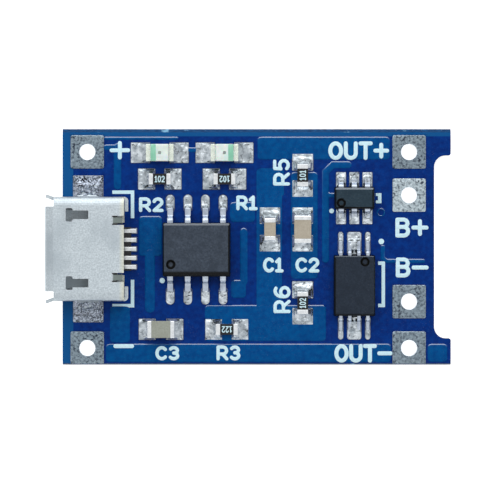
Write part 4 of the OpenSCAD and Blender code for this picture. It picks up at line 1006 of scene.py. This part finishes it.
@dataclass
class SolderPools:
    """Solder on a node's pads: round rim, low crown, and hollow flanks that rise to the metal it holds."""

    climb: float
    spread: float = 0.7
    corner: float = 0.07
    ripple: float = 0.012
    rim: float = 0.07
    pad: float = 0.09
    crown: float = 0.02
    trim: float = 0.0
    step: float = 0.035

    def waves(self, x: np.ndarray, y: np.ndarray, chance: np.random.Generator) -> np.ndarray:
        """Sum of eight waves of random heading, length and start, about one high."""
        heading, length, start = chance.uniform(0, np.pi, 8), chance.uniform(0.22, 0.8, 8), chance.uniform(0, 7, 8)
        along = x[..., None] * np.cos(heading) + y[..., None] * np.sin(heading)
        return np.sin(2 * np.pi * along / length + start).sum(-1) / 3

    def pool(self, low: np.ndarray, high: np.ndarray, metal: list, chance: np.random.Generator) -> Shape:
        """Make the solder on one pad.

        Depth is the distance inwards from a rectangle with round corners. The top rises with it by a
        quarter circle over the rim, and by a crown that falls as the squares of both places. Near the
        metal it rises by the square of what is left of the spread, faded out towards the rim.

        Args:
            low: Lowest corner of the pad's box.
            high: Highest corner of the pad's box.
            metal: Boxes of the metal that stands in the solder.
            chance: Source of the ripple's waves.

        Returns:
            The closed pool.
        """
        middle, half = (low[:2] + high[:2]) / 2, (high[:2] - low[:2]) / 2
        corner = min(self.corner, *half)
        columns, rows = (np.ceil(2 * half / self.step) + 8).astype(int)
        y = np.repeat(np.sin(np.linspace(-np.pi / 2, np.pi / 2, rows)) * half[1], columns).reshape(rows, columns)
        beyond = np.maximum(np.abs(y) - (half[1] - corner), 0)
        reach = half[0] - corner + np.sqrt(np.maximum(corner ** 2 - beyond ** 2, 1e-6))
        x = np.sin(np.linspace(-np.pi / 2, np.pi / 2, columns)) * reach
        over = np.stack([np.abs(x) - (half[0] - corner), np.abs(y) - (half[1] - corner)])
        depth = np.maximum(corner - np.hypot(*np.maximum(over, 0)) - np.minimum(over.max(0), 0), 0)
        rise = np.zeros_like(x)
        for metal_low, metal_high in metal:
            gaps = [np.maximum(np.maximum(metal_low[axis] - place, place - metal_high[axis]), 0)
                    for axis, place in ((0, x + middle[0]), (1, y + middle[1]))]
            rise = np.maximum(rise, self.climb * np.clip(1 - np.hypot(*gaps) / self.spread, 0, 1) ** 2)
        edge = np.sqrt(1 - (1 - np.clip(depth / self.rim, 0, 1)) ** 2)
        inner = np.clip(depth / 0.22, 0, 1) ** 2 * (3 - 2 * np.clip(depth / 0.22, 0, 1))
        crown = self.crown * (1 - (x / half[0]) ** 2) * (1 - (y / half[1]) ** 2)
        height = low[2] + edge * (self.pad + crown) + inner * (rise + self.ripple * self.waves(x, y, chance))
        number = np.arange(rows * columns).reshape(rows, columns)
        quads = np.stack([number[:-1, :-1], number[:-1, 1:], number[1:, 1:], number[1:, :-1]], -1).reshape(-1, 4)
        border = np.concatenate([number[0, :-1], number[:-1, -1], number[-1, :0:-1], number[:0:-1, 0]])
        points = np.column_stack([(x + middle[0]).ravel(), (y + middle[1]).ravel(), height.ravel()])
        return Shape(points, quads.tolist() + [border[::-1].tolist()])

    def build(self, node: str, metal: list, material: bpy.types.Material) -> None:
        """Replace a CAD node by one pool on each of its pads.

        Args:
            node: Name of the CAD node.
            metal: Boxes of the metal that stands in the solder.
            material: Its finish.
        """
        chance = np.random.default_rng(len(node) * 7 + ord(node[0]) + ord(node[1]))
        boxes = solids(node)
        middle = np.mean([(low + high)[1] / 2 for low, high in boxes])
        for low, high in boxes:
            if (low + high)[1] / 2 > middle:
                low[1] += self.trim
            else:
                high[1] -= self.trim
        pools = [self.pool(low, high, metal, chance) for low, high in boxes]
        add_piece("pool_" + node, pools, material, (node,))


def pour_solder(material: bpy.types.Material, anchor: bpy.types.Material) -> None:
    """Lay solder pools on every pad that holds something.

    Args:
        material: Finish of the solder.
        anchor: Finish of the solder round the shell's feet.
    """
    small, lamp = SolderPools(0.32, 0.62), SolderPools(0.22, 0.75)
    for part in ("r1", "r2", "r3", "r5", "r6", "c1", "c2", "c3", "left_lamp", "right_lamp"):
        kind = lamp if "lamp" in part else small
        kind.build(part + "_solder", solids(part + "_ends"), material)
    for chip, pools in (("charger", SolderPools(0.17, 0.34, 0.4, trim=0.75)),
                        ("protector", SolderPools(0.12, 0.3, 0.08)), ("switch", SolderPools(0.12, 0.3, 0.2))):
        pools.build(chip + "_solder", solids(chip + "_leads", base_only=True), material)
    SolderPools(0.12, 0.2, 0.06, 0.006).build("socket_contact_pads", solids("socket_contacts", base_only=True),
                                              material)
    foot, tuck = np.array([1.5, 0.85]), 0.3
    feet = []
    for low, high in solids("socket_anchor_solder"):
        middle = (low + high) / 2
        side = np.sign(middle[1] + 0.15)
        inner = (low if side > 0 else high)[1] + side * tuck
        span = sorted([inner, inner + side * foot[1]])
        feet.append((np.array([middle[0] - foot[0] / 2, span[0]]), np.array([middle[0] + foot[0] / 2, span[1]])))
    SolderPools(0.26, 0.55, 0.08, 0.03).build("socket_anchor_solder", feet, anchor)


@dataclass
class TailShadowFoot:
    """Black block under the contacts' tails, a painted shadow between them, shaped as a rear foot of the socket's
    moulding.
    """

    rear: float = -9.54
    depth: float = 0.5
    overlap: float = 0.3
    beside: float = 0.12
    top: float = 1.3
    edge: float = 0.02

    def build(self, material: bpy.types.Material) -> None:
        """Lay the foot under the tails, from the moulding's rear face backwards."""
        rear = self.rear
        low, high = (np.array(corner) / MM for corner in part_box("socket_contacts"))
        outline = rectangle(rear - self.overlap, rear + self.depth, low[1] - self.beside, high[1] + self.beside)
        profile = ((0.0, BOARD_TOP), (0.0, self.top - self.edge), (self.edge, self.top))
        # A dark block laid where there is only shadow between the tails
        add_piece("tail_shadow_foot", [plate(outline, profile)], material)


@dataclass
class TinnedTerminal:
    """Square terminal on both faces with a rounded rim, and the thin lining of its hole."""

    side: float = 2.4
    bore: float = 0.6
    lining: float = 0.02
    corner: float = 0.1
    rim: float = 0.08
    around: int = 128

    def reach(self, inset: float) -> np.ndarray:
        """Points of the pad's outline, moved in: each lies on its ray where a soft square of high power is met."""
        angle = np.linspace(0, 2 * np.pi, self.around, endpoint=False) + np.pi / self.around
        ray = np.column_stack([np.cos(angle), np.sin(angle)])
        power = 24
        scale = (np.abs(ray) ** power).sum(1) ** (-1 / power)
        return ray * (scale * (self.side / 2 - inset))[:, None]

    def build(self, node: str, material: bpy.types.Material) -> None:
        """Carry the terminal's section round its hole and replace the CAD node.

        Args:
            node: Name of the CAD node.
            material: Its finish.
        """
        low, high = (np.array(corner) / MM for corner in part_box(node))
        middle = np.array([(low[0] + high[0]) / 2, high[1] - self.side / 2 if low[1] < -8 else (low[1] + high[1]) / 2])
        top, floor, window = high[2], BOARD_TOP - 0.04, 0.04
        unit = self.reach(0) / np.linalg.norm(self.reach(0), axis=1)[:, None]
        inner, outer = self.bore - self.lining, self.bore
        section = [
            (unit * inner, 0.0), (unit * inner, top - 0.02), (unit * (inner + 0.02), top),
            (unit * (outer + 0.12), top - 0.004), (self.reach(0.3), top - 0.006), (self.reach(self.rim), top),
            (self.reach(0.02), top - 0.01), (self.reach(0), top - 0.03), (self.reach(0), floor),
            (unit * outer, floor), (unit * outer, window), (self.reach(0), window),
            (self.reach(0), 0.015), (self.reach(0.02), 0.0),
        ]
        rings = [np.column_stack([ring + middle, np.full(self.around, height)]) for ring, height in section]
        points = np.vstack(rings)
        points[:, 1] = np.clip(points[:, 1], low[1], high[1])
        corner = np.arange(self.around)
        after = (corner + 1) % self.around
        count = len(rings)
        faces = [np.column_stack([k * self.around + corner, (k + 1) % count * self.around + corner,
                                  (k + 1) % count * self.around + after, k * self.around + after])
                 for k in range(count)]
        add_piece("tinned_" + node, [Shape(points, np.vstack(faces)[:, ::-1].tolist())], material, (node,))


@dataclass
class Studio:
    """Camera straight above, light from the far side, a sky that dims to its rim and a pale floor."""

    view_width: float = 36.07
    aim: tuple[float, float] = (-0.48, -0.227)
    distance: float = 450.0
    key_power: float = 0.8
    sky: float = 1.0
    horizon: float = 0.05
    near_share: float = 0.5
    far_share: float = 1.15

    def camera(self) -> None:
        """Place the camera so that the view's width is right at the board's upper face."""
        data = bpy.data.cameras.new("photo_camera")
        data.sensor_width = 36.0
        data.lens = data.sensor_width * self.distance / self.view_width
        data.clip_start, data.clip_end = 0.01, 5.0
        camera = bpy.data.objects.new("photo_camera", data)
        camera.location = (self.aim[0] * MM, self.aim[1] * MM, (BOARD_TOP + self.distance) * MM)
        bpy.context.scene.collection.objects.link(camera)
        bpy.context.scene.camera = camera

    def lamp(self, name: str, place: tuple[float, float, float], size: tuple[float, float], power: float) -> None:
        """Add a soft light that faces the module.

        Args:
            name: Name of the light.
            place: Where it stands, in metres.
            size: Its width and height, in metres.
            power: Its power in watts.
        """
        data = bpy.data.lights.new(name, "AREA")
        data.shape, data.energy = "RECTANGLE", power
        data.size, data.size_y = size
        lamp = bpy.data.objects.new(name, data)
        lamp.location = place
        aim = bpy.data.objects.new(name + "_aim", None)
        lamp.rotation_euler = (-aim.location + lamp.location).to_track_quat("Z", "Y").to_euler()
        bpy.data.objects.remove(aim)
        bpy.context.scene.collection.objects.link(lamp)

    def world(self) -> None:
        """Grey sky, brighter on the far side, and white where the camera, metal or glass sees it."""
        world = bpy.data.worlds.new("studio_world")
        world.use_nodes = True
        bpy.context.scene.world = world
        shader = ShaderTree(world.node_tree)
        seen = shader.background_rays()
        direction = shader.add("ShaderNodeTexCoord").outputs["Generated"]
        parts = shader.add("ShaderNodeSeparateXYZ", {0: direction})
        gradient = shader.spread(parts.outputs["Z"], 0.1, 0.8, self.horizon, self.sky)
        side = shader.spread(parts.outputs["Y"], -0.5, 0.5, self.near_share, self.far_share)
        sky = shader.add("ShaderNodeMath", {0: gradient, 1: side}, operation="MULTIPLY").outputs[0]
        strength = shader.add("ShaderNodeMath", {0: sky, 1: seen}, operation="MAXIMUM").outputs[0]
        background = world.node_tree.nodes["Background"]
        background.inputs["Color"].default_value = (1, 1, 1, 1)
        world.node_tree.links.new(strength, background.inputs["Strength"])

    def floor(self) -> None:
        """Pale floor that glows white to the camera, metal and glass, and keeps a soft shadow."""
        side = 0.6
        mesh = bpy.data.meshes.new("floor")
        mesh.from_pydata([(-side, -side, 0), (side, -side, 0), (side, side, 0), (-side, side, 0)], [], [(0, 1, 2, 3)])
        material = bpy.data.materials.new("floor_paper")
        material.use_nodes = True
        shader = ShaderTree(material.node_tree)
        surface = material.node_tree.nodes["Principled BSDF"]
        surface.inputs["Base Color"].default_value = (0.8, 0.8, 0.8, 1)
        surface.inputs["Roughness"].default_value = 0.9
        surface.inputs["Emission Color"].default_value = (1, 1, 1, 1)
        glow = shader.math("MULTIPLY", shader.background_rays(), 0.8)
        material.node_tree.links.new(glow, surface.inputs["Emission Strength"])
        mesh.materials.append(material)
        floor = bpy.data.objects.new("floor", mesh)
        floor.location.z = -0.0002
        bpy.context.scene.collection.objects.link(floor)

    def build(self) -> None:
        """Set up everything round the module."""
        bpy.context.scene.view_settings.view_transform = "Standard"
        self.camera()
        self.world()
        self.floor()
        self.lamp("far_softbox", (-0.05, 0.28, 0.3), (0.5, 0.42), self.key_power)
        self.lamp("far_strip", (0.0, 0.42, 0.11), (0.4, 0.06), self.key_power * 0.45)
        self.lamp("near_fill", (0.1, -0.3, 0.35), (0.2, 0.2), self.key_power * 0.1)
        log.info("studio is set")


def main() -> None:
    """Build the studio and every piece, in order."""
    logging.basicConfig(level=logging.INFO, format="%(name)s: %(message)s")
    Studio().build()
    effects = EffectLibrary()
    materials = {name: finish.build(effects) for name, finish in FINISHES.items()}
    dress_nodes(materials)
    CopperRelief().build(materials["masked_copper"])
    PrintedLabels().build(materials["white_print"])
    ResistorCodes().build(materials["white_print"])
    LampDetails().build(materials["green_stripe"], materials["lamp_die"])
    pour_solder(materials["bright_solder"], materials["speckled_solder"])
    TailShadowFoot().build(materials["black_housing"])
    for node in sorted(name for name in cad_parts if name.endswith("_terminal")):
        TinnedTerminal().build(node, materials[dressing_of(node).finish])


if __name__ == "__main__":
    main()
